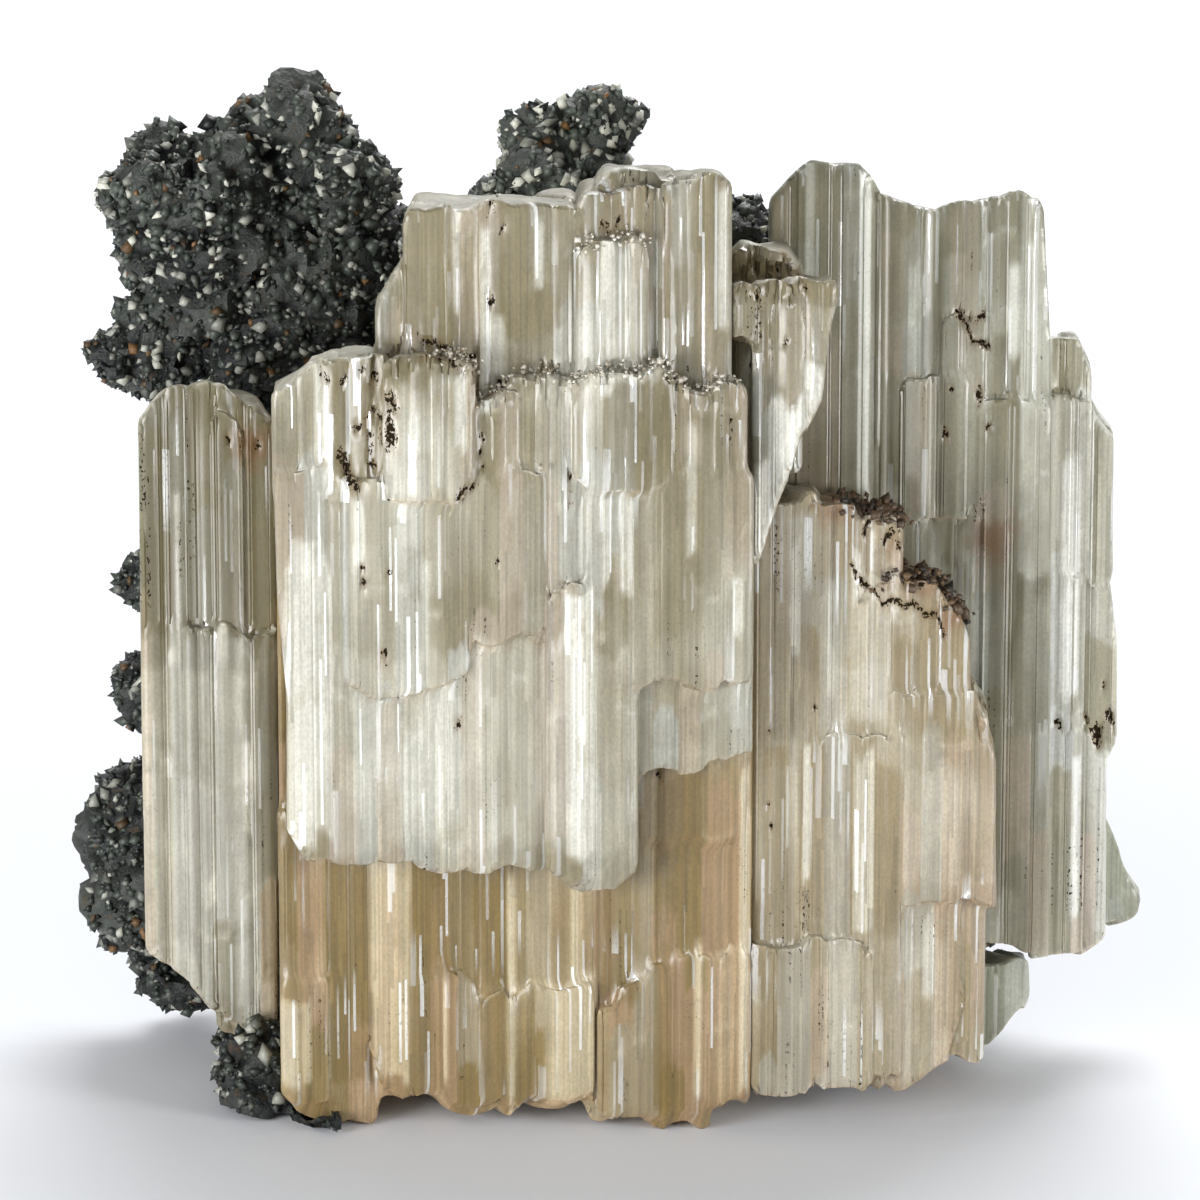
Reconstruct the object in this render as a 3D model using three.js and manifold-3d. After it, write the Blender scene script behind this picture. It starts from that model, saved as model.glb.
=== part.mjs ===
// Cerussite crystals on dark sulphide rock, in millimetres.
// X runs to the right, Y runs from the front crystal back into the rock, and the group rests on Z = 0.
// Each crystal is a bundle of upright plates grown side by side, with striated faces and stepped ends.

import * as THREE from "three";
import { mergeVertices } from "three/addons/utils/BufferGeometryUtils.js";
import Module from "manifold-3d";

const wasm = await Module();
wasm.setup();

// Driving dimensions
const GAP = 0.3; // left between a crystal and the rock round it
const GROOVE = 0.35; // depth of the grooves between the ribs of a face
const EDGE = 0.1; // how far the first and last groove lie behind the others
// Ribs are of uneven width. A rib's crest starts and ends at these shares of its width, each shifted by up
// to the jitter, and crests stand back from the front by up to a share of the groove.
const RIB = { narrowest: 0.55, crestStart: 0.12, crestEnd: 0.7, jitter: 0.2, setBack: 0.6 };
const TIP = [0.4, 0.5, 0.4, 0.5]; // bevel of a plate's upper corners: left run and drop, right run and drop
const TOE = [0.3, 0.4, 0.3, 0.4]; // the same for its lower corners
const SLOPE = -0.2; // how far the top of a plate climbs for each millimetre towards the back
const OVERRUN = 1; // how far a plate's plan and outline reach past each other
const SLAB_BACK = 4.1; // back of the front crystal's lower slab, which lies on the lower crystal
const SHELF = 39.3; // underside of the front crystal's thick upper half
const LUMP = { detail: 1, roughness: 0.2 }; // a lump's subdivision, and how far its corners stray from a ball

const ROOM = 100; // side of the block that holds everything above the ground
const MERGE = 1e-4; // corners closer than this are one

// A repeatable number from 0 to 1 for each seed.
function chance(seed) {
  const wave = Math.sin(seed * 127.1 + 11.7) * 43758.5453;
  return wave - Math.floor(wave);
}

// The same geometry with its corners shared between its faces.
function sharedCorners(geometry) {
  geometry.deleteAttribute("normal");
  geometry.deleteAttribute("uv");
  return mergeVertices(geometry, MERGE);
}

// A closed three.js geometry as a solid that can be joined and cut.
function solidFrom(geometry) {
  const merged = sharedCorners(geometry);
  return new wasm.Manifold(
    new wasm.Mesh({
      numProp: 3,
      vertProperties: new Float32Array(merged.attributes.position.array),
      triVerts: new Uint32Array(merged.index.array),
    }),
  );
}

function geometryFrom(solid) {
  const mesh = solid.getMesh();
  const geometry = new THREE.BufferGeometry();
  geometry.setAttribute("position", new THREE.BufferAttribute(mesh.vertProperties, 3));
  geometry.setIndex(new THREE.BufferAttribute(mesh.triVerts, 1));
  geometry.computeVertexNormals();
  return geometry;
}

function join(solids) {
  return solids.reduce((whole, piece) => whole.add(piece));
}

function extrude(points, depth) {
  const shape = new THREE.Shape(points.map(([a, b]) => new THREE.Vector2(a, b)));
  return new THREE.ExtrudeGeometry(shape, { depth, bevelEnabled: false, steps: 1 });
}

// Where the grooves fall across a face, from 0 to 1, at uneven spacing.
function grooveLines(ribs, seed) {
  const widths = Array.from({ length: ribs }, (_, i) => RIB.narrowest + chance(seed + 3.3 * i));
  const total = widths.reduce((sum, width) => sum + width);
  let run = 0;
  return [0, ...widths.map((width) => (run += width) / total)];
}

// The plan of a plate: a striated front, a plain back, and a back that can be narrower than the front.
function planOutline({ x: [left, right], y: [front, back], ribs, groove = GROOVE, narrow = [0, 0], seed }) {
  const lines = grooveLines(ribs, seed);
  const points = [];
  for (let i = 0; i < ribs; i++) {
    const start = left + (right - left) * lines[i];
    const width = (right - left) * (lines[i + 1] - lines[i]);
    const crest = front + groove * RIB.setBack * chance(seed + 7.7 * i);
    points.push([start, front + groove + EDGE]);
    const crestStart = start + width * (RIB.crestStart + RIB.jitter * chance(seed + i));
    const crestEnd = start + width * (RIB.crestEnd + RIB.jitter * chance(seed + 5 * i));
    points.push([crestStart, crest]);
    points.push([crestEnd, crest + groove * RIB.jitter]);
  }
  points.push([right, front + groove + EDGE]);
  points.push([right - narrow[1], back]);
  points.push([left + narrow[0], back]);
  return points;
}

// The front outline of a plate: a rectangle with bevelled corners.
function bevelledOutline({ x: [left, right], z: [foot, top], tip = TIP, toe = TOE }) {
  return [
    [left, foot + toe[1]],
    [left + toe[0], foot],
    [right - toe[2], foot],
    [right, foot + toe[3]],
    [right, top - tip[3]],
    [right - tip[2], top],
    [left + tip[0], top],
    [left, top - tip[1]],
  ];
}

function span(points, axis) {
  const values = points.map((point) => point[axis]);
  return [Math.min(...values), Math.max(...values)];
}

// A plate, made where its striated plan and its front outline cross. grow makes it larger on every side.
function plate(spec, seed, grow = 0) {
  const rough = spec.outline ?? bevelledOutline(spec);
  const middle = [0, 1].map((axis) => (span(rough, axis)[0] + span(rough, axis)[1]) / 2);
  const outline = rough.map((point) =>
    point.map((value, axis) => value + Math.sign(value - middle[axis]) * grow),
  );
  const [left, right] = span(outline, 0);
  const [foot, top] = span(outline, 1);
  const [front, back] = [spec.y[0] - grow, spec.y[1] + grow];

  const plan = planOutline({ ...spec, x: [left, right], y: [front, back], seed });
  const column = extrude(plan, top - foot + 2 * OVERRUN);
  column.translate(0, 0, foot - OVERRUN);

  const profile = extrude(outline, back - front + 2 * OVERRUN);
  profile.rotateX(Math.PI / 2).translate(0, back + OVERRUN, 0);
  const at = profile.attributes.position;
  for (let i = 0; i < at.count; i++) {
    const fromFront = Math.max(0, at.getY(i) - front);
    if (at.getZ(i) > middle[1]) at.setZ(i, at.getZ(i) + (spec.slope ?? SLOPE) * fromFront);
  }
  return solidFrom(column).intersect(solidFrom(profile));
}

// The front crystal: tall rear columns, a thick middle with ledges, and a slab over the lower crystal.
const frontCrystal = [
  { x: [-12.7, -10.4], z: [40, 52.6], y: [5.2, 10], ribs: 2, tip: [1.5, 2.2, 0.2, 0.2] },
  { x: [-11.1, -6.6], z: [40, 56.2], y: [4.6, 11], ribs: 4, tip: [0.5, 0.9, 0.2, 0.3] },
  { x: [-6.9, -0.9], z: [40, 56.3], y: [4.2, 12], ribs: 6, tip: [0.2, 0.2, 1, 0.8] },
  { x: [-1.1, 4.6], z: [40, 57], y: [4.4, 11], ribs: 4, tip: [0.5, 0.4, 0.2, 0.2] },
  { x: [0, 4.2], z: [40, 57.9], y: [5.5, 12], ribs: 3, slope: -0.25 },
  { x: [3.6, 7.3], z: [40, 58.1], y: [3.4, 10], ribs: 3, tip: [0.9, 0.8, 0.8, 0.7], slope: -0.25 },
  { x: [-1.2, 2.5], z: [40, 54.4], y: [2.8, 9], ribs: 3, tip: [0.9, 1.1, 0.8, 1] },
  { x: [-17.8, 7.2], z: [SHELF, 45], y: [3.8, 11.5], ribs: 4 },
  {
    y: [3, 9],
    ribs: 3,
    outline: [[-18.6, SHELF], [-15.2, SHELF], [-15.2, 47.7], [-16.5, 47.1], [-18.6, 45.5]],
  },
  { x: [-15.7, -11.9], z: [SHELF, 47.9], y: [2.2, 9], ribs: 3, tip: [0.9, 0.7, 0.5, 0.6] },
  {
    x: [-12.2, -7.3],
    z: [39.4, 48.1],
    y: [0.6, 8],
    ribs: 4,
    tip: [0.8, 0.6, 1.1, 0.9],
    toe: [0.3, 0.3, 1, 1.4],
  },
  { x: [-7.5, -4.7], z: [30.8, 45.6], y: [1.6, SLAB_BACK], ribs: 3, tip: [1, 0.6, 0.5, 0.4] },
  { x: [-5, -0.6], z: [31, 46.5], y: [2.2, SLAB_BACK], ribs: 4 },
  {
    x: [-1.4, 4.1],
    z: [39.9, 47],
    y: [0.8, 6],
    ribs: 4,
    tip: [0.8, 0.6, 0.7, 0.9],
    toe: [1.4, 0.7, 0.2, 0.2],
  },
  { x: [3.4, 8.2], z: [33, 46.1], y: [1.4, SLAB_BACK], ribs: 4 },
  {
    y: [2.6, SLAB_BACK],
    ribs: 7,
    outline: [[-18.5, 41], [-18.4, 34], [-17.9, 27], [-18, 19.3], [-16.8, 17.2], [-10.4, 17.2], [-10.4, 41]],
  },
  { x: [-10.9, -2.8], z: [16.7, 41], y: [2.4, SLAB_BACK], ribs: 7, toe: [0.5, 0.8, 0.2, 0.2] },
  {
    x: [-3, 2],
    z: [15.7, 34.2],
    y: [1.4, SLAB_BACK],
    ribs: 4,
    tip: [0.8, 0.9, 0.3, 0.3],
    toe: [1.3, 1.4, 1.3, 1.3],
  },
  { x: [-2.1, -0.3], z: [16.2, 34.6], y: [0.9, SLAB_BACK], ribs: 1 },
  { x: [-0.8, 8.6], z: [28.1, 41], y: [1.2, SLAB_BACK], ribs: 8, toe: [0.8, 1.4, 0.1, 0.1] },
  { y: [2.8, SLAB_BACK], ribs: 5, outline: [[2, 22.2], [6, 22.9], [8.6, 23.6], [8.6, 30], [2, 30]] },
  {
    y: [1.5, SLAB_BACK],
    ribs: 4,
    outline: [[-7.7, 32.4], [-6.6, 31], [-4, 31], [-3.1, 32], [-3.1, 41], [-7.7, 41]],
  },
  {
    y: [1.3, SLAB_BACK],
    ribs: 6,
    outline: [[-14.7, 28.6], [-12.7, 27.3], [-9.8, 28], [-7.6, 29.2], [-7.6, 41], [-14.7, 41]],
  },
];

// The broken crystal flares upwards from a point, with a ragged fracture down its right side.
const brokenCrystal = [
  {
    y: [2.6, 5],
    ribs: 4,
    outline: [
      [8.9, 34.8], [9.3, 35.8], [10.1, 38.6], [11.4, 42.5], [12.5, 45.1],
      [12.8, 48.7], [13.4, 51.3], [13.2, 52.1], [8.9, 51.7],
    ],
  },
  {
    y: [3.2, 9],
    ribs: 4,
    outline: [
      [8.9, 39.4], [10.2, 39.4], [11.2, 42.5], [12.2, 45.1], [12.6, 48.7],
      [13.2, 51.2], [13, 51.9], [7.7, 51.5], [7.7, 48.6], [8.9, 48.2],
    ],
  },
  { x: [7.7, 11.5], z: [39.4, 52.9], y: [8, 11.6], ribs: 3, tip: [0.6, 0.7, 1, 1.3] },
];

// The lower crystal stands behind the slab, down to the ground, with thin plates on its front.
const lowerCrystal = [
  { x: [-18.5, 8.6], z: [1.6, 38.9], y: [5.6, 16], ribs: 12 },
  {
    y: [5, 12],
    ribs: 3,
    outline: [[-18.6, 2.7], [-17.7, 1.2], [-15.9, 0.2], [-14.6, 0], [-14.6, 20], [-18.6, 20]],
  },
  { x: [-14.8, -13.3], z: [0, 20], y: [5.4, 12], ribs: 1 },
  { y: [4.6, 12], ribs: 3, outline: [[-13.6, 20], [-13.6, 5.6], [-12.5, 2], [-9.4, 1.6], [-9.4, 20]] },
  { x: [-9.6, -5], z: [1.4, 20], y: [4.9, 12], ribs: 3 },
  { x: [-5.1, -0.5], z: [2, 20], y: [4.6, 12], ribs: 3 },
  { x: [-0.6, 2.2], z: [0.6, 20], y: [5.3, 12], ribs: 2 },
  { x: [1.9, 6.3], z: [0, 20], y: [4.5, 12], ribs: 3, toe: [1.2, 0.8, 0.3, 0.3] },
  { x: [6.1, 8.65], z: [1.4, 36], y: [4.5, 12], ribs: 2 },
  { x: [-18.6, -15], z: [1.8, 9.6], y: [4.6, 8], ribs: 3 },
  {
    y: [4.3, 8],
    ribs: 4,
    outline: [
      [-10.8, 2], [-5.2, 2], [-5.2, 9.1], [-7.5, 9.1],
      [-7.5, 10.3], [-9.4, 10.3], [-9.4, 9.1], [-10.8, 9.1],
    ],
  },
  { x: [-5.1, -0.5], z: [2.3, 9.6], y: [4, 8], ribs: 3 },
  {
    y: [4, 8],
    ribs: 4,
    outline: [
      [0, 1.2], [2, 0.6], [6, 0.6], [6, 10.8], [2.9, 10.4],
      [2.7, 9.4], [1.2, 9.2], [1, 8.3], [0, 8.2],
    ],
  },
  { x: [5.8, 8.65], z: [1.6, 11.2], y: [4.1, 8], ribs: 2 },
];

// The right front crystal stands beside the lower crystal, with a hollow in its top and a stepped right side.
const rightFrontCrystal = [
  { x: [9.3, 22.4], z: [4, 26], y: [6.4, 11.7], ribs: 4 },
  { x: [8.95, 12.6], z: [2.2, 38.6], y: [5.4, 11.5], ribs: 3 },
  { x: [11.9, 14.8], z: [2.6, 38.1], y: [5, 11], ribs: 2, tip: [0.5, 0.6, 0.4, 0.7] },
  { x: [14.5, 17.3], z: [23.4, 37.3], y: [5.7, 11.5], ribs: 3, tip: [0.5, 0.4, 0.5, 0.6] },
  {
    y: [5.2, 11.5],
    ribs: 5,
    outline: [[14.5, 23.4], [21.4, 23.4], [21.2, 29.9], [20.5, 31.7], [19.1, 33.5], [17, 33.8], [14.5, 32]],
  },
  { x: [12.6, 17.6], z: [3.1, 24.3], y: [4.6, 11], ribs: 4, tip: [0.8, 0.6, 0.2, 0.2] },
  {
    y: [4.9, 11.7],
    ribs: 5,
    outline: [[16.8, 13.9], [23, 13.9], [22.8, 23.3], [21.7, 26.9], [16.8, 26.9]],
  },
  {
    y: [5.6, 11],
    ribs: 4,
    outline: [[15.8, 2.3], [18, 2.2], [20.3, 4], [21.3, 7.4], [21.2, 14.5], [15.8, 14.5]],
  },
  { x: [8.95, 15.9], z: [2.5, 11.9], y: [4.1, 8], ribs: 5, tip: [0.1, 0.6, 0.8, 1.2] },
];

// The tall right crystal rises behind the right front one, as two columns and a broad blade.
const tallRightCrystal = [
  {
    y: [12, 19],
    ribs: 4,
    slope: -0.3,
    outline: [
      [10.1, 12], [16.2, 12], [16.1, 54.9], [15.4, 56.2],
      [14.7, 57], [12.4, 57], [11.1, 56.1], [10.1, 54.9],
    ],
  },
  {
    y: [12.8, 19.5],
    ribs: 3,
    slope: -0.3,
    outline: [[15.6, 12], [19.7, 12], [19.5, 53.7], [16.2, 54.9], [15.6, 54.8]],
  },
  {
    y: [12.8, 20],
    ribs: 4,
    slope: -0.3,
    outline: [[19.3, 11.7], [24.5, 11.7], [23.9, 54.8], [20.9, 54.4], [19.4, 53.7]],
  },
  {
    y: [12.3, 19.5],
    ribs: 2,
    narrow: [0, 2.5],
    slope: -0.3,
    outline: [[23.7, 11.5], [26.5, 11.5], [26, 46.1], [25.5, 54], [25.2, 54.7], [24.3, 55.2], [23.6, 54.9]],
  },
  {
    y: [12, 19],
    ribs: 3,
    narrow: [0, 2.5],
    outline: [[22.6, 9], [24.6, 8.8], [26.5, 8.1], [26.1, 42.6], [22.4, 42.6]],
  },
  { x: [19.8, 22.5], z: [36, 47.5], y: [12.4, 16], ribs: 2, tip: [0.8, 0.8, 1.6, 2] },
  { x: [17.6, 21.6], z: [35, 43.8], y: [12.2, 16], ribs: 3 },
];

const farRightCrystal = [
  { x: [26, 28.8], z: [27, 45], y: [17, 22], ribs: 2, tip: [0.5, 0.4, 0.8, 1.6] },
  {
    y: [16, 21.5],
    ribs: 3,
    outline: [[25.9, 28], [29.9, 30.2], [30.2, 31.1], [30.1, 39.6], [29.4, 40.4], [28.8, 41.5], [25.9, 41.8]],
  },
  {
    y: [15.7, 21],
    ribs: 3,
    outline: [[25.9, 20], [30.2, 20], [30.6, 20.8], [30.5, 26.9], [30.1, 30.3], [25.9, 31]],
  },
  { y: [15.6, 21], ribs: 3, outline: [[25.9, 6.6], [28.5, 7], [30.1, 8.6], [30, 21.1], [25.9, 21.1]] },
];

const leftCrystal = [
  {
    y: [12, 20],
    ribs: 5,
    groove: 0.5,
    narrow: [3, 3],
    outline: [
      [-26.9, 8.7], [-25.9, 7.6], [-24.4, 6.5], [-23, 4.9], [-21.2, 3.4], [-19.4, 3.4],
      [-19.1, 41], [-20.3, 41.7], [-25.6, 41.7], [-26.8, 41.2],
    ],
  },
  { x: [-22.7, -20.9], z: [3.4, 40.9], y: [11.5, 14], ribs: 1 },
  {
    y: [11.2, 14],
    ribs: 4,
    outline: [[-24.3, 6.4], [-22.9, 5], [-21.2, 3.7], [-19.4, 3.7], [-19.2, 28.9], [-24.3, 28.9]],
  },
];

const greenCrystal = [
  {
    y: [13.5, 19],
    ribs: 2,
    outline: [[21.8, 2], [23.1, 2.3], [25, 4.2], [25.5, 5.6], [25.4, 7.6], [21.8, 7.6]],
  },
];

const footCrystal = [
  {
    y: [12, 17],
    ribs: 2,
    outline: [[17.5, 0.9], [19.6, 0.9], [21.3, 2], [21.3, 6], [20, 7.6], [17.5, 7.6]],
  },
];

const wedgeCrystal = [
  {
    y: [21.4, 23.6],
    ribs: 1,
    outline: [[28.4, 6.6], [30.7, 6.8], [32.4, 8.2], [32.6, 9.2], [30, 14.4], [28.4, 14.4]],
  },
];

// The rock: a body of large lumps, and small ones that stand out from it, each with its middle and its radii.
const rockBody = [
  { at: [0, 24, 24], radii: [22, 8, 22] },
  { at: [-14, 25, 23], radii: [12.5, 8, 20] },
  { at: [13, 25, 26], radii: [14, 8, 21] },
  { at: [-1, 27.5, 28], radii: [12, 7.5, 15] },
  { at: [0, 20, 4], radii: [21, 11, 5.5] },
];

const rockKnobs = [
  { at: [-22, 28, 48.5], radii: [6.4, 6, 6.4] },
  { at: [-26, 27, 50.4], radii: [3, 3, 5] },
  { at: [-18.6, 28, 54.4], radii: [3.4, 3, 3.4] },
  { at: [-15.4, 27, 51], radii: [3.2, 3.4, 3.8] },
  { at: [-29, 25.5, 41.6], radii: [2, 2, 1.5] },
  { at: [-26.2, 26, 41.8], radii: [3, 3, 2.8] },
  { at: [-13.4, 26.5, 47], radii: [3.6, 4, 4] },
  { at: [-18, 25.5, 43], radii: [6.4, 5, 6] },
  { at: [-2.2, 27, 46.6], radii: [4.6, 4.4, 5] },
  { at: [-2.4, 27.5, 51], radii: [4.6, 4, 4.6] },
  { at: [-4.2, 28, 54.8], radii: [2, 2, 2.2] },
  { at: [-0.6, 28, 55.4], radii: [2.4, 2.2, 2.6] },
  { at: [9, 22, 46], radii: [5, 5, 6.4] },
  { at: [-25.4, 22, 28.4], radii: [3.2, 3, 2.4] },
  { at: [-25.2, 22, 22], radii: [3.4, 4, 4] },
  { at: [-27, 23, 11], radii: [4.4, 5, 6.6] },
  { at: [-25.2, 22.5, 4.4], radii: [3, 4, 2.8] },
  { at: [-20.5, 20, 9], radii: [5, 5, 6] },
  { at: [-20.2, 9.8, 2], radii: [2.6, 4, 3] },
  { at: [-19.5, 15, 3], radii: [4, 5, 3.4] },
  { at: [-15.6, 8, 0.6], radii: [3, 3.6, 1.8] },
  { at: [-3.6, 8.4, 0.4], radii: [3.2, 3.4, 2] },
  { at: [18, 21, 10], radii: [7.5, 6, 8] },
  { at: [25.6, 23, 11], radii: [3.8, 3, 4] },
];

// A lump of rock: a ball of flat faces whose corners stray in and out.
function lump({ at, radii }, seed) {
  const ball = sharedCorners(new THREE.IcosahedronGeometry(1, LUMP.detail));
  const corners = ball.attributes.position;
  for (let i = 0; i < corners.count; i++) {
    const reach = 1 + LUMP.roughness * (2 * chance(seed * 17.3 + i * 1.7) - 1);
    corners.setXYZ(
      i,
      at[0] + corners.getX(i) * reach * radii[0],
      at[1] + corners.getY(i) * reach * radii[1],
      at[2] + corners.getZ(i) * reach * radii[2],
    );
  }
  return solidFrom(ball);
}

// What lies above the ground: everything is cut off flat at Z = 0, where the group rests.
function aboveGround(solid) {
  const room = new THREE.BoxGeometry(ROOM, ROOM, ROOM).translate(0, 0, ROOM / 2);
  return solid.intersect(solidFrom(room));
}

function crystal(plates, seed) {
  return join(plates.map((spec, i) => plate(spec, seed + i)));
}

// The room that a crystal takes in the rock: the same plates without grooves, larger by the gap.
function socket(plates) {
  return join(plates.map((spec) => plate({ ...spec, ribs: 1, groove: 0 }, 1, GAP)));
}

const crystals = {
  front_crystal: { plates: frontCrystal, colour: 0xd8cfb8 },
  broken_crystal: { plates: brokenCrystal, colour: 0xcfc8b6 },
  lower_crystal: { plates: lowerCrystal, colour: 0xb8a47a },
  right_front_crystal: { plates: rightFrontCrystal, colour: 0xb9ab8e },
  tall_right_crystal: { plates: tallRightCrystal, colour: 0x9f9a80 },
  far_right_crystal: { plates: farRightCrystal, colour: 0xb2afa0 },
  left_crystal: { plates: leftCrystal, colour: 0xa9a48f },
  green_crystal: { plates: greenCrystal, colour: 0x8f9378 },
  foot_crystal: { plates: footCrystal, colour: 0xa8977a },
  wedge_crystal: { plates: wedgeCrystal, colour: 0x7d8072 },
};

// Cutting can leave crumbs beside the rock, which are dropped.
function largestPiece(solid) {
  return solid.decompose().reduce((best, piece) => (piece.volume() > best.volume() ? piece : best));
}

function namedMesh(name, solid, material) {
  const mesh = new THREE.Mesh(geometryFrom(solid), material);
  mesh.name = name;
  return mesh;
}

function build() {
  const group = new THREE.Group();
  let rock = join([...rockBody, ...rockKnobs].map(lump));
  Object.entries(crystals).forEach(([name, { plates, colour }], i) => {
    const seed = 20 * i + 1;
    const solid = aboveGround(crystal(plates, seed));
    rock = rock.subtract(socket(plates));
    const material = new THREE.MeshStandardMaterial({ color: colour, roughness: 0.15, metalness: 0 });
    group.add(namedMesh(name, solid, material));
  });
  const stone = new THREE.MeshStandardMaterial({ color: 0x3a3f3c, roughness: 0.7, metalness: 0.1 });
  group.add(namedMesh("matrix", largestPiece(aboveGround(rock)), stone));

  // The origin goes to the middle of the base.
  const box = new THREE.Box3().setFromObject(group);
  group.position.set(-(box.min.x + box.max.x) / 2, -(box.min.y + box.max.y) / 2, -box.min.z);
  return group;
}

export default build();
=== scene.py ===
"""Looks of a cerussite crystal group: striated, stepped, milky crystals on dark grainy rock."""

import math

import bpy
import numpy as np
from bpy.props import FloatProperty, FloatVectorProperty, IntProperty, PointerProperty
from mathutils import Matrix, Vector


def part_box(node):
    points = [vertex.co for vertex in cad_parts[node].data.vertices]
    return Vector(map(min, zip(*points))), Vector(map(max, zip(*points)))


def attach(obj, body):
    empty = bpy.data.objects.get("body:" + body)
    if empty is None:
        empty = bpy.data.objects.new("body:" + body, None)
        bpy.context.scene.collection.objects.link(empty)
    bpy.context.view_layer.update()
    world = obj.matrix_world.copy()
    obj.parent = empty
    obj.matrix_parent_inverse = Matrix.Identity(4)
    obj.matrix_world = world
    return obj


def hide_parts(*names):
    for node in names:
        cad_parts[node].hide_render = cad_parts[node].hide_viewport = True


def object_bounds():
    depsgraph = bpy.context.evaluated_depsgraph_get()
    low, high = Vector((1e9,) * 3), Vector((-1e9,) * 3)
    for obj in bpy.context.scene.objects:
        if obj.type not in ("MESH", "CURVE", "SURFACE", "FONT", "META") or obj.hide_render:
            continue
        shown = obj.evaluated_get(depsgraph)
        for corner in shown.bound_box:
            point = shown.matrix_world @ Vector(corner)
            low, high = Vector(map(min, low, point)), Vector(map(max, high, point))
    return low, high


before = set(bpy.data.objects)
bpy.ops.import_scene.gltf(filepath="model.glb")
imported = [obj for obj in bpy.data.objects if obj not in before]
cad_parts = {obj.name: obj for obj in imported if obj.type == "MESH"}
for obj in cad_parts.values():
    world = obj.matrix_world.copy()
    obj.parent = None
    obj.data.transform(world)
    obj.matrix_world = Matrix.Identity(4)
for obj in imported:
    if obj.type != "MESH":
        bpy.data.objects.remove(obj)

bl_info = {
    "name": "Cerussite crystal group",
    "version": (1, 0, 0),
    "blender": (4, 5, 0),
    "location": "View3D > Sidebar > Crystals",
    "description": "Striated crystals, grainy rock and a pale stage round the packed solids",
    "category": "Object",
}

MM = 0.001
SOLID_BOX = [[float(value) for value in corner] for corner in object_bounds()]
ROOT = "root"


# Settings


def colour_setting(name, description, default):
    return FloatVectorProperty(
        name=name, description=description, default=default, size=3, subtype="COLOR",
    )


class CrystalSettings(bpy.types.PropertyGroup):
    """Sizes and colours of the crystals."""

    skin: FloatProperty(
        name="Skin", description="Spacing of the mesh across a striated face",
        default=0.125 * MM, unit="LENGTH",
    )
    stretch: FloatProperty(
        name="Stretch", description="How much longer the mesh's steps are along a crystal",
        default=2.5,
    )
    swell: FloatProperty(
        name="Swell", description="How far a crystal grows out over the narrow gap to the next one",
        default=0.17 * MM, unit="LENGTH",
    )
    column_relief: FloatProperty(
        name="Column relief", description="How far the columns of a face stand in or out",
        default=0.05 * MM, unit="LENGTH",
    )
    strip_relief: FloatProperty(
        name="Strip relief", description="How far the narrow strips of a face stand in or out",
        default=0.012 * MM, unit="LENGTH",
    )
    cream: colour_setting("Cream", "Body of the front crystals", (0.413, 0.383, 0.276))
    tan: colour_setting("Tan", "Body of the lower crystals", (0.391, 0.28, 0.127))
    pale_tan: colour_setting("Pale tan", "Body of the right front crystal", (0.445, 0.378, 0.25))
    grey: colour_setting("Grey", "Body of the tall crystal at the right", (0.427, 0.412, 0.307))
    pale_grey: colour_setting("Pale grey", "Body of the blade at the far right", (0.706, 0.696, 0.598))
    olive: colour_setting("Olive", "Body of the left crystal", (0.445, 0.41, 0.29))
    green: colour_setting("Green", "Body of the small green crystals", (0.432, 0.442, 0.331))


class RockSettings(bpy.types.PropertyGroup):
    """Sizes and colours of the rock's crust, and the number of its grains."""

    skin: FloatProperty(
        name="Skin", description="Spacing of the mesh on the rock", default=0.42 * MM, unit="LENGTH",
    )
    crust: FloatProperty(
        name="Crust", description="Relief of the rock's crust", default=1.05 * MM, unit="LENGTH",
    )
    grain: FloatProperty(
        name="Grain", description="Size of a usual grain on the rock", default=0.7 * MM, unit="LENGTH",
    )
    dark_grains: IntProperty(name="Dark grains", description="Number of dark grains", default=19500)
    pale_grains: IntProperty(name="Pale grains", description="Number of pale grains", default=9000)
    rust_grains: IntProperty(name="Rust grains", description="Number of rusty grains", default=1400)
    # The hollows' near-black colour is the rock's own dark colour deepened as painted shade
    shaded_hollow_stone: colour_setting("Dark stone", "Colour of the rock's hollows", (0.003, 0.005, 0.004))
    pale_stone: colour_setting("Pale stone", "Colour of the rock's raised parts", (0.055, 0.062, 0.052))
    rusty_stone: colour_setting("Rusty stone", "Colour of the rock's rusty spots", (0.10, 0.06, 0.03))


class StageSettings(bpy.types.PropertyGroup):
    """Floor, lights and camera."""

    elevation: FloatProperty(
        name="Elevation", description="How far the camera looks down",
        default=math.radians(16), subtype="ANGLE",
    )
    distance: FloatProperty(
        name="Distance", description="From the camera to the crystals", default=450 * MM, unit="LENGTH",
    )
    focal_length: FloatProperty(
        name="Focal length", description="Focal length in millimetres on a 36 mm sensor", default=236.25,
    )
    floor_colour: colour_setting("Floor", "Colour of the floor", (0.80, 0.82, 0.86))


# Mesh helpers


def deselect_everything():
    if bpy.context.object and bpy.context.object.mode != "OBJECT":
        bpy.ops.object.mode_set(mode="OBJECT")
    bpy.ops.object.select_all(action="DESELECT")


def make_active(piece):
    deselect_everything()
    piece.select_set(True)
    bpy.context.view_layer.objects.active = piece


def merged_copy(node, name):
    """A new piece with the shape of a solid, its corners merged."""
    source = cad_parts[node]
    piece = bpy.data.objects.new(name, source.data.copy())
    piece.data.name = name
    piece.data.materials.clear()
    bpy.context.collection.objects.link(piece)
    make_active(piece)
    bpy.ops.object.mode_set(mode="EDIT")
    bpy.ops.mesh.select_all(action="SELECT")
    bpy.ops.mesh.remove_doubles(threshold=1e-6)
    bpy.ops.object.mode_set(mode="OBJECT")
    return piece


def stretch_mesh(piece, factor):
    make_active(piece)
    bpy.ops.object.mode_set(mode="EDIT")
    bpy.ops.mesh.select_all(action="SELECT")
    bpy.ops.transform.resize(value=(1, 1, factor), center_override=(0, 0, 0))
    bpy.ops.object.mode_set(mode="OBJECT")


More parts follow.
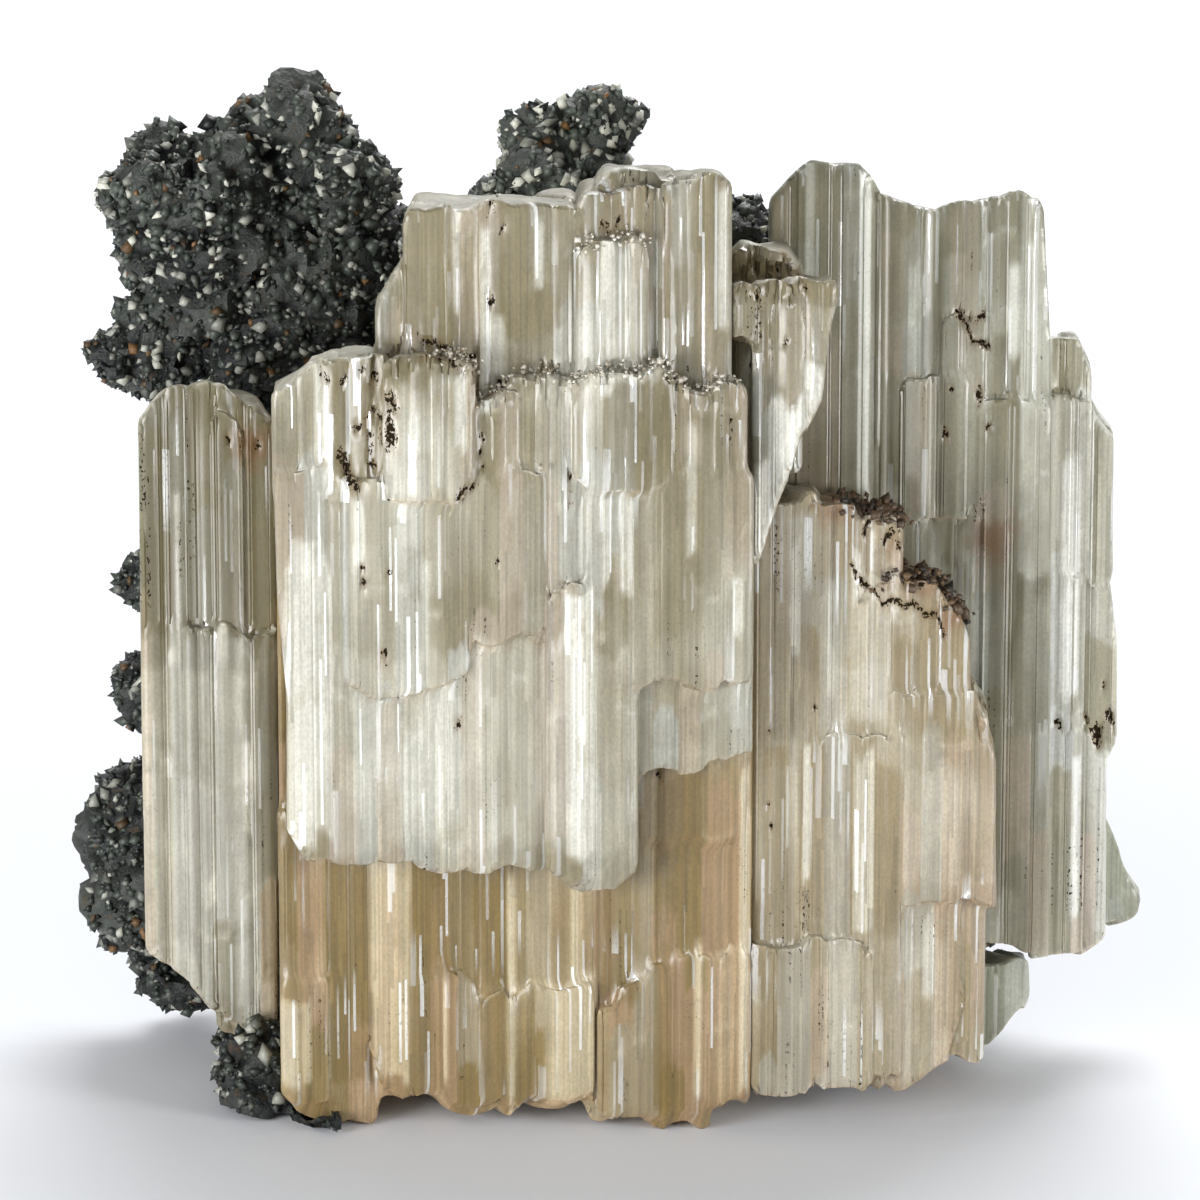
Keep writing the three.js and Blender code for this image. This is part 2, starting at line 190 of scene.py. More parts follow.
def even_skin(piece, spacing, stretch=1.0):
    """Rebuilds a piece's mesh at an even spacing, longer in Z by the stretch."""
    stretch_mesh(piece, 1 / stretch)
    skin = piece.modifiers.new("even skin", "REMESH")
    skin.mode = "VOXEL"
    skin.voxel_size = spacing
    make_active(piece)
    bpy.ops.object.modifier_apply(modifier=skin.name)
    stretch_mesh(piece, stretch)


def read_points(piece):
    points = np.empty(len(piece.data.vertices) * 3)
    piece.data.vertices.foreach_get("co", points)
    return points.reshape(-1, 3)


def read_normals(piece):
    normals = np.empty(len(piece.data.vertices) * 3)
    piece.data.vertices.foreach_get("normal", normals)
    return normals.reshape(-1, 3)


def write_points(piece, points):
    piece.data.vertices.foreach_set("co", points.reshape(-1))
    piece.data.update()


def write_colours(piece, name, colours):
    """Stores a colour for each corner of the mesh, for its material to read."""
    layer = piece.data.attributes.new(name, "FLOAT_COLOR", "POINT")
    full = np.ones((len(colours), 4), dtype=np.float32)
    full[:, :3] = colours
    layer.data.foreach_set("color", full.reshape(-1))


def write_values(piece, name, values):
    """Stores a number for each corner of the mesh, for its material to read."""
    layer = piece.data.attributes.new(name, "FLOAT", "POINT")
    layer.data.foreach_set("value", values.astype(np.float32))


def shade(piece, degrees):
    make_active(piece)
    bpy.ops.object.shade_smooth_by_angle(angle=math.radians(degrees))


# Noise that gives the same values in every run


def lattice(cells):
    """A pseudo-random number from 0 to 1 for each whole-number cell."""
    cells = cells.astype(np.int64)
    mixed = cells[..., 0] * 374761393 + cells[..., 1] * 668265263 + cells[..., 2] * 2147483647
    mixed = (mixed ^ (mixed >> 13)) * 1274126177 & 0xFFFFFFFF
    return ((mixed ^ (mixed >> 16)) & 0xFFFFFF) / 0xFFFFFF


def smooth_noise(points, size, seed=0):
    """Smooth noise from 0 to 1 whose blobs are about as wide as the size."""
    scaled = points / size + seed * 17.31
    whole = np.floor(scaled)
    part = scaled - whole
    part = part * part * (3 - 2 * part)
    total = np.zeros(len(points))
    for corner in np.ndindex(2, 2, 2):
        weight = np.prod(np.where(corner, part, 1 - part), axis=1)
        total += weight * lattice(whole + corner)
    return total


def rough_noise(points, size, octaves, seed=0):
    """Noise with finer and finer detail, from 0 to 1."""
    total = np.zeros(len(points))
    weight_sum = 0.0
    for octave in range(octaves):
        weight = 0.5 ** octave
        total += weight * smooth_noise(points, size * weight, seed + octave)
        weight_sum += weight
    return total / weight_sum


def window(values, low, high, soft):
    """One between two limits, falling softly to zero outside them."""
    return np.clip((np.minimum(values - low, high - values)) / soft + 0.5, 0, 1)


def rise(values, low, high):
    """Zero below the low limit, one above the high limit."""
    return np.clip((values - low) / (high - low), 0, 1)


# Crystal faces

# Columns and strips on a face: their width, length, the bow of their ends, and their tilt
WIDE_COLUMNS = (1.6 * MM, 4.2 * MM), (5 * MM, 22 * MM), (0.3 * MM, 1.1 * MM), 0.012
NARROW_STRIPS = (0.35 * MM, 1.1 * MM), (3 * MM, 16 * MM), (0.1 * MM, 0.5 * MM), 0.012
RIM = 0.5 * MM

# The grid that a front is pressed flat on: its cell, how many cells on each side are averaged, the
# smallest step that counts as a ledge, how far behind the broad front all is pressed, and how far
# behind it nothing is
FOLD_CELL = (0.16 * MM, 0.5 * MM)
GAP_REACH = 3
FOLD_REACH = 13
LEDGE_REACH = 9
LEDGE = 0.9 * MM
PRESSED = 1.8 * MM
LEFT_ALONE = 4.5 * MM
NO_DEPTH = 1.0

# How soft the sides and ends of marks are, in mm, how near a crack's pits stand, in pits, and the
# share of its depth that a mark is carved
FACET_SIDE = 0.16
FACET_END = 0.5
GROOVE_END = 2.0
CRACK_STEP = 0.7
CARVE = 0.35

# Width of the columns whose ends are jagged
JAG_WIDTH = 1.0 * MM, 3.4 * MM

# Panels and strips of different hue, in mm: their width, length and the arch of their ends. The rows
# of each column are shifted against its neighbours' by up to this many rows.
ROW_SHIFT = 13.7
HUE_PANELS = {"width": 1.45, "shortest": 5, "longest": 22, "arch": 3.6}
HUE_STRIPS = {"width": 0.46, "shortest": 3, "longest": 15, "arch": 0.6}

# Soft patterns: size, the share of the height that counts, which draws them out upwards where it is
# small, octaves of detail, and a step of the seed
PATTERNS = {
    "clouds": (4.3 * MM, 0.5, 3, 0),
    "windows": (3.3 * MM, 0.18, 2, 3),
    "bands": (1.1 * MM, 0.03, 2, 5),
    "sheen": (3.0 * MM, 0.4, 2, 8),
    "dust": (3.6 * MM, 0.5, 3, 11),
    "mottle": (0.6 * MM, 0.6, 2, 15),
    "crumbs": (3.0 * MM, 0.8, 2, 17),
}

PAINTED_GLOW_WHITE = np.array((0.93, 0.92, 0.86))
RUST = np.array((0.26, 0.12, 0.04))
PIT_BROWN = np.array((0.30, 0.20, 0.10))


def pattern(name, points, seed):
    """One of the soft patterns on a crystal, from 0 to 1."""
    size, height_share, octaves, step = PATTERNS[name]
    return rough_noise(points * (1, 1, height_share), size, octaves, seed + step)


def cut_lines(rng, low, high, shortest, longest):
    lines = [low]
    while lines[-1] < high:
        lines.append(lines[-1] + rng.uniform(shortest, longest))
    return np.array(lines)


class Columns:
    """Columns side by side on a striated face, each cut into lengths that stand in or out."""

    def __init__(self, rng, across, along, width, length, bow, tilt):
        self.lines = cut_lines(rng, across.min(), across.max(), *width)
        self.columns = []
        for _ in self.lines[1:]:
            cuts = cut_lines(rng, along.min() - rng.uniform(*length), along.max(), *length)
            levels = rng.uniform(0, 1, len(cuts) + 1)
            bows = rng.uniform(*bow, len(cuts)) * np.sign(np.diff(levels))
            skews = rng.uniform(-0.5, 0.5, len(cuts)) * bow[1]
            self.columns.append((cuts, levels, bows, skews, rng.uniform(-tilt, tilt)))

    def read(self, across, along):
        """Level from 0 to 1, sideways slope, a number for each length, nearness to its end and sides."""
        level, slope, number, rim, edge = np.zeros((5, len(across)))
        column_of = np.clip(np.searchsorted(self.lines, across) - 1, 0, len(self.columns) - 1)
        for i, (cuts, levels, bows, skews, tilt) in enumerate(self.columns):
            here = np.flatnonzero(column_of == i)
            half = (self.lines[i + 1] - self.lines[i]) / 2
            off = np.clip((across[here] - self.lines[i]) / half - 1, -1, 1)
            row = np.zeros(len(here), dtype=int)
            near = np.zeros(len(here))
            for cut, bow, skew in zip(cuts, bows, skews):
                above = along[here] - (cut + bow * off * off + skew * off)
                row += above > 0
                inside = above * np.sign(bow)
                near = np.maximum(near, np.where(inside > 0, 1 - inside / RIM, 0))
            level[here] = levels[row]
            slope[here] = tilt * off * half
            number[here] = (row * 0.618 + i * 0.377) % 1
            rim[here] = near
            edge[here] = np.clip((np.abs(off) - 0.7) / 0.3, 0, 1) ** 2
        return level, slope, number, rim, edge


def read_columns(rng, kind, points, share):
    """Columns of one kind: a blend of those on faces that look along Y and on faces that look along X."""
    x, y, z = points.T
    facing_y = Columns(rng, x, z, *kind).read(x, z)
    facing_x = Columns(rng, y, z, *kind).read(y, z)
    return [first * share + second * (1 - share) for first, second in zip(facing_y, facing_x)]


class Marks:
    """What the front of one crystal shows, in mm from the left and the foot of its box."""

    def __init__(self, facets=(), grooves=(), pits=(), cracks=(), stains=()):
        self.facets = facets
        self.grooves = grooves
        self.pits = pits
        self.cracks = cracks
        self.stains = stains


def crack_pits(path, size):
    """Pits side by side along a crack."""
    pits = []
    for (x_from, z_from), (x_to, z_to) in zip(path, path[1:]):
        steps = int(math.hypot(x_to - x_from, z_to - z_from) / (CRACK_STEP * size)) + 1
        for step in range(steps + 1):
            part = step / steps
            pits.append((x_from + part * (x_to - x_from), z_from + part * (z_to - z_from), size))
    return pits


def read_marks(marks, node, points, facing):
    """Tone, outward reach, pit and stain of each corner, from a crystal's marks."""
    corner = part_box(node)[0]
    x = (points[:, 0] - corner[0]) / MM
    z = (points[:, 2] - corner[2]) / MM
    z = z + 1.6 * (smooth_noise(points * (1, 1, 0.3), 0.6 * MM, 3) - 0.5)
    tone, reach, pit, stain = np.zeros((4, len(points)))
    for left, right, foot, top, value, turn in marks.facets:
        share = window(x, left, right, FACET_SIDE) * window(z, foot, top, FACET_END) * facing
        tone += (value - tone) * share
        reach += share * math.tan(math.radians(0.4 * turn)) * (x - (left + right) / 2)
    for place, foot, top, depth, width in marks.grooves:
        dip = np.exp(-((x - place) / width) ** 2)
        reach -= CARVE * depth * dip * window(z, foot, top, GROOVE_END) * facing
    ragged = 0.6 + 0.8 * smooth_noise(points, 0.35 * MM, 8)
    spots = list(marks.pits)
    for path, size in marks.cracks:
        spots += crack_pits(path, size)
    for place, height, size in spots:
        distance = np.hypot(x - place, (z - height) * 0.8) / (size * ragged)
        pit = np.maximum(pit, np.clip(1.3 - 0.8 * distance, 0, 1) * facing)
    for place, height, size in marks.stains:
        distance = np.hypot(x - place, z - height) / size
        stain = np.maximum(stain, np.clip(1.3 - distance * ragged, 0, 1))
    reach -= CARVE * np.clip(pit - 0.4, 0, 1)
    return tone, reach * MM, pit, stain


class Palette:
    """Colours of one kind of crystal, how clear it is, the heights in mm between which it is painted
    darker towards the top as shade, and how crisp its lines are."""

    def __init__(self, name, milk, body, deep, warm, cool, clear, seed, fade=(60, 80), crisp=1.0):
        self.name = name
        self.milk = np.array(milk)
        self.body = np.array(body)
        self.deep = np.array(deep)
        self.warm = np.array(warm)
        self.cool = np.array(cool)
        self.clear = clear
        self.seed = seed
        self.fade = fade
        self.crisp = crisp


def cells(across, along, seed, width, shortest, longest, arch):
    """A number from 0 to 1 for each cell of a striated face, with curved ends."""
    steps = across / width
    column = np.floor(steps)
    off = steps - column - 0.5
    own = lattice(np.stack([column, np.full(len(column), seed), np.zeros(len(column))], axis=1))
    length = shortest + own * (longest - shortest)
    row = np.floor((along + arch * off * off) / length + own * ROW_SHIFT)
    return lattice(np.stack([column, row, np.full(len(column), seed + 7)], axis=1))


def blend(first, second, share):
    """Colours between two colours, one for each share."""
    return first + (second - first) * np.clip(share, 0, 1)[:, None]


def tint(palette, points, across, deepness_and_shade, milk_and_highlight, painted_glow):
    """Colour of each corner: panels of different hue, paler where it is milky or has a painted highlight,
    and painted white where it is given a painted glow.
    """
    z = points[:, 2] / MM
    # Painted shade: the crystal is made deeper and darker towards its top, between the painted shade
    # heights
    deepness_and_shade = np.clip(deepness_and_shade + 0.7 * rise(z, *palette.fade), 0, 1)
    panel = cells(across, z, palette.seed + 20, **HUE_PANELS)
    strip = cells(across, z, palette.seed + 30, **HUE_STRIPS)
    hued = 1 - 0.7 * rise(deepness_and_shade, 0.3, 1.0)
    colour = blend(palette.body, palette.deep, deepness_and_shade)
    colour = blend(colour, palette.deep, 0.8 * (panel < 0.3) * hued)
    colour = blend(colour, palette.warm, 0.8 * ((panel > 0.58) & (panel < 0.8)) * hued)
    colour = blend(colour, palette.cool, 0.6 * (panel > 0.82) * hued)
    # Milky colour, which also carries painted highlights and upward faces painted paler
    colour = blend(colour, palette.milk, 0.9 * milk_and_highlight)
    # Painted glow: where a facet's tone is above one the colour is painted near white
    colour = blend(colour, PAINTED_GLOW_WHITE, painted_glow)
    return colour * (0.93 + 0.14 * strip)[:, None]


def jag_ends(points, rng, shift, arc):
    """Slides each column up or down and arches it, so that no ledge ends in a straight line."""
    across = points[:, 0] + 0.6 * points[:, 1]
    lines = cut_lines(rng, across.min(), across.max(), *JAG_WIDTH)
    column = np.clip(np.searchsorted(lines, across) - 1, 0, len(lines) - 2)
    off = (across - lines[column]) / (lines[column + 1] - lines[column]) * 2 - 1
    shifts = rng.uniform(-shift, shift, len(lines))
    arcs = rng.uniform(0.3, 1.0, len(lines)) * arc * np.sign(rng.uniform(-0.3, 1.0, len(lines)))
    lift = shifts[column] + arcs[column] * (1 - off ** 2)
    lift += 0.25 * shift * (smooth_noise(points * (1, 1, 0.5), 0.6 * MM, 6) - 0.5)
    points[:, 2] = np.maximum(points[:, 2] + lift * MM, 0)


def near_mean(values, known, reach, axis, alike):
    """Mean, along one axis, of the known values near each cell that are alike within a limit."""
    total, weight = np.zeros((2, *values.shape))
    for step in range(-reach, reach + 1):
        other = np.roll(values, step, axis=axis)
        near = np.roll(known, step, axis=axis) & (np.abs(other - values) < alike)
        total += np.where(near, other, 0)
        weight += near
    return np.where(weight > 0, total / np.maximum(weight, 1), values)


def press_flat(piece, folds, ledges):
    """Presses the folds of a crystal's front partly flat, and brings its ledges nearer to each other."""
    points = read_points(piece)
    normals = read_normals(piece)
    column, row = np.floor((points - points.min(axis=0))[:, [0, 2]] / FOLD_CELL).astype(int).T
    front = normals[:, 1] < -0.35
    sums, counts = np.zeros((2, column.max() + 1, row.max() + 1))
    np.add.at(sums, (column[front], row[front]), points[front, 1])
    np.add.at(counts, (column[front], row[front]), 1)
    known = counts > 0
    depth = np.where(known, sums / np.maximum(counts, 1), NO_DEPTH)
    # Empty cells take the depth of those near them
    for axis in (0, 1):
        filled = near_mean(depth, known, GAP_REACH, axis, np.inf)
        depth = np.where(known, depth, filled)
        known |= depth < NO_DEPTH
    flat = near_mean(depth, known, FOLD_REACH, 0, LEDGE)
    shift = folds * (flat - depth)[column, row]
    depth += folds * (flat - depth)
    broad = near_mean(depth, known, FOLD_REACH, 0, np.inf)
    broad = near_mean(broad, known, LEDGE_REACH, 1, np.inf)[column, row]
    points[:, 1] += shift * np.clip((0.3 - normals[:, 1]) / 0.5, 0, 1)
    off = points[:, 1] - broad
    points[:, 1] -= ledges * off * rise(-off, -LEFT_ALONE, -PRESSED)
    write_points(piece, points)


def read_tones(points, normals, seed, tone, number, rim):
    """How deep, milky (with painted highlights and paler painted upward faces), shiny and dusty each
    corner is, from its tone, its column and soft patterns.
    """
    upright = np.hypot(normals[:, 0], normals[:, 1])
    windows = rise(pattern("windows", points, seed), 0.48, 0.75)
    clouds = rise(pattern("clouds", points, seed), 0.5, 0.75)
    bands = rise(pattern("bands", points, seed), 0.52, 0.8)
    sheen = rise(pattern("sheen", points, seed), 0.45, 0.62)
    dusty = rise(pattern("dust", points, seed), 0.55, 0.7)
    deep = 0.6 * windows + 0.5 * number - 0.25 - 1.1 * np.minimum(tone, 0)
    # Milk mixes real milky clouds and bands with painted light: a painted highlight along the columns'
    # ends,
    milk = 0.4 * clouds + 0.35 * bands + 0.35 * rim * upright
    # painted highlights where a facet's tone is high, and upward faces painted paler
    milk += 1.1 * np.maximum(tone, 0) + np.minimum(tone, 0) + 0.5 * rise(normals[:, 2], 0.15, 0.6)
    # Shine marks where bars may get a painted white highlight
    shine = np.maximum(sheen, rise(tone, 0.3, 0.8))
    return np.clip(deep, 0, 1), np.clip(milk, 0, 1), shine, dusty


def weather(colour, palette, points, normals, seed, rim, pit, stain):
    """Adds to a crystal's colours its mottling, crumbly patches, rust, a painted warm glow on its
    undersides and brown pits.
    """
    mottle = pattern("mottle", points, seed)
    crumbly = rise(pattern("crumbs", points, seed), 0.42, 0.6) * (0.4 + 0.6 * rim)
    colour = colour * (0.88 + 0.24 * mottle)[:, None]
    colour = blend(colour, palette.deep * 0.75, 0.7 * rise(mottle, 0.5, 0.64) * crumbly)
    colour = blend(colour, RUST, 0.7 * stain)
    # Painted glow: faces that look down are blended towards a brighter warm colour
    colour = blend(colour, palette.warm * 1.25, 0.55 * rise(-normals[:, 2], 0.1, 0.7))
    return blend(colour, PIT_BROWN, 0.75 * pit)


def striate(piece, node, seed, palette, marks, jag, press):
    """Gives a crystal's upright faces columns and strips, its front its marks, and all of it colours."""
    settings = bpy.context.scene.crystal_settings
    rng = np.random.default_rng(seed)
    unpressed = read_points(piece)[:, 1]
    press_flat(piece, *press)
    points = read_points(piece)
    normals = read_normals(piece)
    upright = np.hypot(normals[:, 0], normals[:, 1])
    share = np.abs(normals[:, 1]) / (np.abs(normals[:, 0]) + np.abs(normals[:, 1]) + 1e-9)
    share = np.clip((share - 0.25) / 0.3, 0, 1)
    level, slope, number, rim, edge = read_columns(rng, WIDE_COLUMNS, points, share)
    strip_level, strip_slope, _, _, strip_edge = read_columns(rng, NARROW_STRIPS, points, share)
    facing = np.clip(-normals[:, 1] * 1.6 - 0.3, 0, 1)
    tone, marked, pit, stain = read_marks(marks, node, points, facing)
    plain = 1 - np.clip(np.abs(tone) * 1.2, 0, 0.8)
    reach = settings.swell + ((level - 0.2 * edge) * settings.column_relief + slope) * plain
    reach += ((strip_level - 0.7 * strip_edge) * settings.strip_relief + strip_slope) * plain + marked
    across = (points[:, 0] + 0.87 * unpressed) / MM
    across += 0.45 * smooth_noise(np.stack([across, 0 * across, 0 * across], axis=1), 1.1, seed)
    deep, milk, shine, dusty = read_tones(points, normals, seed, tone, number, rim)
    outward = normals[:, :2] / (upright[:, None] + 1e-9)
    points[:, :2] += outward * (reach * np.clip(upright * 1.5, 0, 1))[:, None]
    jag_ends(points, rng, *jag)
    write_points(piece, points)
    # Facets whose tone is above one get a painted white glow
    colour = tint(palette, points, across, deep, milk, 0.85 * rise(tone, 0.95, 1.5))
    write_colours(piece, "tint", weather(colour, palette, points, normals, seed, rim, pit, stain))
    write_values(piece, "clear", palette.clear * (1 - 0.7 * rise(milk, 0.0, 0.8)))
    write_values(piece, "across", across)
    write_values(piece, "shine", shine)
    write_values(piece, "dusty", dusty)
    write_values(piece, "pit", pit)


def join_blocks(piece, node, blocks):
    """Joins bevelled blocks to a piece, placed in mm from the low corner of the crystal's box."""
    corner = Vector(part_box(node)[0])
    parts = []
    for low, high, edge in blocks:
        deselect_everything()
        middle = corner + (Vector(low) + Vector(high)) / 2 * MM
        bpy.ops.mesh.primitive_cube_add(size=1, location=middle, scale=(Vector(high) - Vector(low)) * MM)
        part = bpy.context.object
        bpy.ops.object.transform_apply(location=True, rotation=True, scale=True)
        bpy.ops.object.mode_set(mode="EDIT")
        bpy.ops.mesh.select_all(action="SELECT")
        bpy.ops.mesh.bevel(offset=edge * MM, segments=2)
        bpy.ops.object.mode_set(mode="OBJECT")
        parts.append(part)
    make_active(piece)
    for part in parts:
        part.select_set(True)
    bpy.ops.object.join()


def raise_dome(piece, height, depth):
    """Swells the top of a piece into a low dome."""
    points = read_points(piece)
    low, high = points.min(axis=0), points.max(axis=0)
    off = (points[:, 0] - (low[0] + high[0]) / 2) / ((high[0] - low[0]) / 2)
    share = np.clip((points[:, 2] - high[2] + depth) / depth, 0, 1) ** 2
    points[:, 2] += height * share * np.clip(1 - off ** 2, 0, 1)
    write_points(piece, points)


# Materials


class Nodes:
    """Short calls for building a material's node tree."""

    def __init__(self, name):
        self.material = bpy.data.materials.new(name)
        self.material.use_nodes = True
        self.tree = self.material.node_tree
        self.shader = self.tree.nodes["Principled BSDF"]
        self.object_place = self.add("ShaderNodeTexCoord").outputs["Object"]

    def add(self, kind, **values):
        node = self.tree.nodes.new(kind)
        for key, value in values.items():
            setattr(node, key, value)
        return node

    def feed(self, socket, value):
        if isinstance(value, bpy.types.NodeSocket):
            self.tree.links.new(value, socket)
        else:
            socket.default_value = value

    def scaled(self, scale, place=(0, 0, 0)):
        """Object coordinates times a scale, for each axis."""
        mapping = self.add("ShaderNodeMapping")
        self.feed(mapping.inputs["Vector"], self.object_place)
        mapping.inputs["Scale"].default_value = scale
        mapping.inputs["Location"].default_value = place
        return mapping.outputs["Vector"]

    def noise(self, scale, detail, roughness, place=(0, 0, 0)):
        node = self.add("ShaderNodeTexNoise")
        self.feed(node.inputs["Vector"], self.scaled(scale, place))
        node.inputs["Scale"].default_value = 1.0
        node.inputs["Detail"].default_value = detail
        node.inputs["Roughness"].default_value = roughness
        return node.outputs["Fac"]

    def height(self):
        parts = self.add("ShaderNodeSeparateXYZ")
        self.feed(parts.inputs["Vector"], self.object_place)
        return parts.outputs["Z"]

    def random_for(self, first, second):
        """A pseudo-random number from 0 to 1 for each pair of numbers."""
        pair = self.add("ShaderNodeCombineXYZ")
        self.feed(pair.inputs["X"], first)
        self.feed(pair.inputs["Y"], second)
        node = self.add("ShaderNodeTexWhiteNoise", noise_dimensions="2D")
        self.feed(node.inputs["Vector"], pair.outputs["Vector"])
        return node.outputs["Value"]

    def attribute(self, name):
        return self.add("ShaderNodeAttribute", attribute_name=name).outputs["Fac"]

    def colour(self, name):
        return self.add("ShaderNodeAttribute", attribute_name=name).outputs["Color"]

    def ramp(self, value, *stops):
        """Values between stops, each a place from 0 to 1 and a number."""
        node = self.add("ShaderNodeMapRange", clamp=True)
        for end, (place, number) in zip(("Min", "Max"), stops):
            node.inputs["From " + end].default_value = place
            node.inputs["To " + end].default_value = number
        self.feed(node.inputs["Value"], value)
        return node.outputs["Result"]

    def math(self, operation, *values):
        node = self.add("ShaderNodeMath", operation=operation)
        for socket, value in zip(node.inputs, values):
            self.feed(socket, value)
        return node.outputs["Value"]

    def brighten(self, colour, factor):
        node = self.add("ShaderNodeVectorMath", operation="SCALE")
        self.feed(node.inputs["Vector"], colour)
        self.feed(node.inputs["Scale"], factor)
        return node.outputs["Vector"]

    def mix(self, share, first, second):
        node = self.add("ShaderNodeMix", data_type="RGBA")
        self.feed(node.inputs["Factor"], share)
        self.feed(node.inputs["A"], first if isinstance(first, bpy.types.NodeSocket) else (*first, 1))
        self.feed(node.inputs["B"], second if isinstance(second, bpy.types.NodeSocket) else (*second, 1))
        return node.outputs["Result"]

    def bump(self, height, distance, strength):
        node = self.add("ShaderNodeBump")
        node.inputs["Strength"].default_value = strength
        node.inputs["Distance"].default_value = distance
        self.feed(node.inputs["Height"], height)
        return node.outputs["Normal"]

    def set_shader(self, **values):
        """Links or sets the shader's sockets, their names written with underscores."""
        for name, value in values.items():
            self.feed(self.shader.inputs[name.replace("_", " ")], value)


def cell_lines(nodes, across, along, width, length, shift):
    """A random number for each cell of a striated face, and the place across the cell from 0 to 1."""
    steps = nodes.math("DIVIDE", across, width)
    column = nodes.math("ADD", nodes.math("FLOOR", steps), shift)
    own = nodes.random_for(column, 0.5)
    row = nodes.math("MULTIPLY_ADD", along, 1 / length, nodes.math("MULTIPLY", own, ROW_SHIFT))
    return nodes.random_for(column, nodes.math("FLOOR", row)), nodes.math("FRACT", steps)


# Bars and threads along a crystal: their width, in mm as the attribute across is, and their length
BARS = 0.17, 5.0 * MM
THREADS = 0.125, 9.0 * MM
GRIT_SCALE = (6500, 6500, 4200)
# Near white painted on the brightest bars as a highlight
BAR_HIGHLIGHT_WHITE = (0.95, 0.95, 0.91)
DIRT = (0.022, 0.016, 0.009)
CRYSTAL_IOR = 1.75
CRYSTAL_ROUGHNESS = 0.36
BAR_ROUGHNESS = 0.12
GRAIN_IOR = 1.5


def crystal_material(palette):
    """Clear to milky crystal: its faces' tones, crisp bars whose brightest ones are painted white as
    highlights, fine threads along it, and dark specks.
    """
    nodes = Nodes(palette.name)
    across = nodes.attribute("across")
    along = nodes.height()
    dusty = nodes.attribute("dusty")
    bar, bar_place = cell_lines(nodes, across, along, *BARS, palette.seed)
    thread, _ = cell_lines(nodes, across, along, *THREADS, palette.seed + 60)
    grit = nodes.noise(GRIT_SCALE, 1, 0.6, (palette.seed, 0, 0))

    thread_tone = nodes.ramp(thread, (0.0, 1 - 0.18 * palette.crisp), (1.0, 1 + 0.17 * palette.crisp))
    colour = nodes.brighten(nodes.colour("tint"), thread_tone)
    colour = nodes.brighten(colour, nodes.ramp(grit, (0.36, 0.92), (0.64, 1.09)))
    # Painted highlight: the brightest bars, where shine allows, are painted near white; they also get
    # lower roughness, more specular and a slight tilt
    bar_strength = nodes.ramp(bar, (0.86, 0.0), (0.94, 0.3 + 0.5 * palette.crisp))
    highlight_bar = nodes.math("MULTIPLY", bar_strength, nodes.attribute("shine"))
    colour = nodes.mix(highlight_bar, colour, BAR_HIGHLIGHT_WHITE)
    dust = nodes.math("MULTIPLY", nodes.ramp(grit, (0.56, 0.0), (0.7, 0.5)), dusty)
    colour = nodes.mix(dust, colour, palette.deep * 0.4)

    dark_thread = nodes.ramp(thread, (0.06, 1.0), (0.07, 0.0))
    specks = nodes.math("MULTIPLY", dark_thread, nodes.ramp(grit, (0.58, 0.0), (0.62, 1.0)))
    specks = nodes.math("MULTIPLY", specks, dusty)
    pit_edge = nodes.math("ADD", nodes.attribute("pit"), nodes.ramp(grit, (0.25, -0.5), (0.75, 0.5)))
    dirt = nodes.math("MAXIMUM", specks, nodes.ramp(pit_edge, (0.62, 0.0), (0.78, 1.0)))
    clean = nodes.math("SUBTRACT", 1.0, dirt)

    relief = nodes.math("SUBTRACT", bar_place, 0.5)
    relief = nodes.math("MULTIPLY", relief, nodes.math("MULTIPLY", highlight_bar, 0.06))
    relief = nodes.math("MULTIPLY_ADD", thread, 0.004, relief)
    nodes.set_shader(
        Base_Color=nodes.mix(dirt, colour, DIRT),
        Roughness=nodes.ramp(highlight_bar, (0.0, CRYSTAL_ROUGHNESS), (0.5, BAR_ROUGHNESS)),
        Transmission_Weight=nodes.math("MULTIPLY", nodes.attribute("clear"), clean),
        Specular_IOR_Level=nodes.math("MULTIPLY", nodes.math("MULTIPLY_ADD", highlight_bar, 0.35, 0.4), clean),
        IOR=CRYSTAL_IOR,
        Normal=nodes.bump(relief, MM, 0.7),
    )
    return nodes.material


def rock_material(name, dark, pale, rust):
    """Dark sulphide rock with paler and rusty patches, made near black in its hollows as painted shade."""
    nodes = Nodes(name)
    patches = nodes.noise((230, 230, 230), 5, 0.6)
    spots = nodes.noise((900, 900, 900), 3, 0.6, (3, 1, 2))
    raised = nodes.math("ADD", patches, nodes.attribute("lift"))
    # Painted shade: where the crust sinks the rock takes the near-black hollow colour
    colour = nodes.mix(nodes.ramp(raised, (0.95, 0.0), (1.6, 1.0)), dark, pale)
    colour = nodes.mix(nodes.ramp(spots, (0.6, 0.0), (0.75, 0.6)), colour, rust)
    grit = nodes.noise((2600, 2600, 2600), 4, 0.6)
    nodes.set_shader(
        Base_Color=colour,
        Roughness=nodes.ramp(spots, (0.3, 0.35), (0.7, 0.75)),
        Normal=nodes.bump(grit, 0.25 * MM, 0.8),
    )
    return nodes.material


def grain_material(name, first, second, roughness):
    """Small grains, each of its own shade between two colours."""
    nodes = Nodes(name)
    nodes.set_shader(
        Base_Color=nodes.mix(nodes.attribute("grain"), first, second),
        Roughness=roughness,
        IOR=GRAIN_IOR,
    )
    return nodes.material


# Whole pieces

DOME_DEPTH = 3 * MM
CREASE = 32


def settle(piece, node, material):
    """Hands a finished piece over to the frame, in place of a solid where one is named."""
    piece.data.materials.clear()
    piece.data.materials.append(material)
    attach(piece, ROOT)
    if node:
        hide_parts(node)


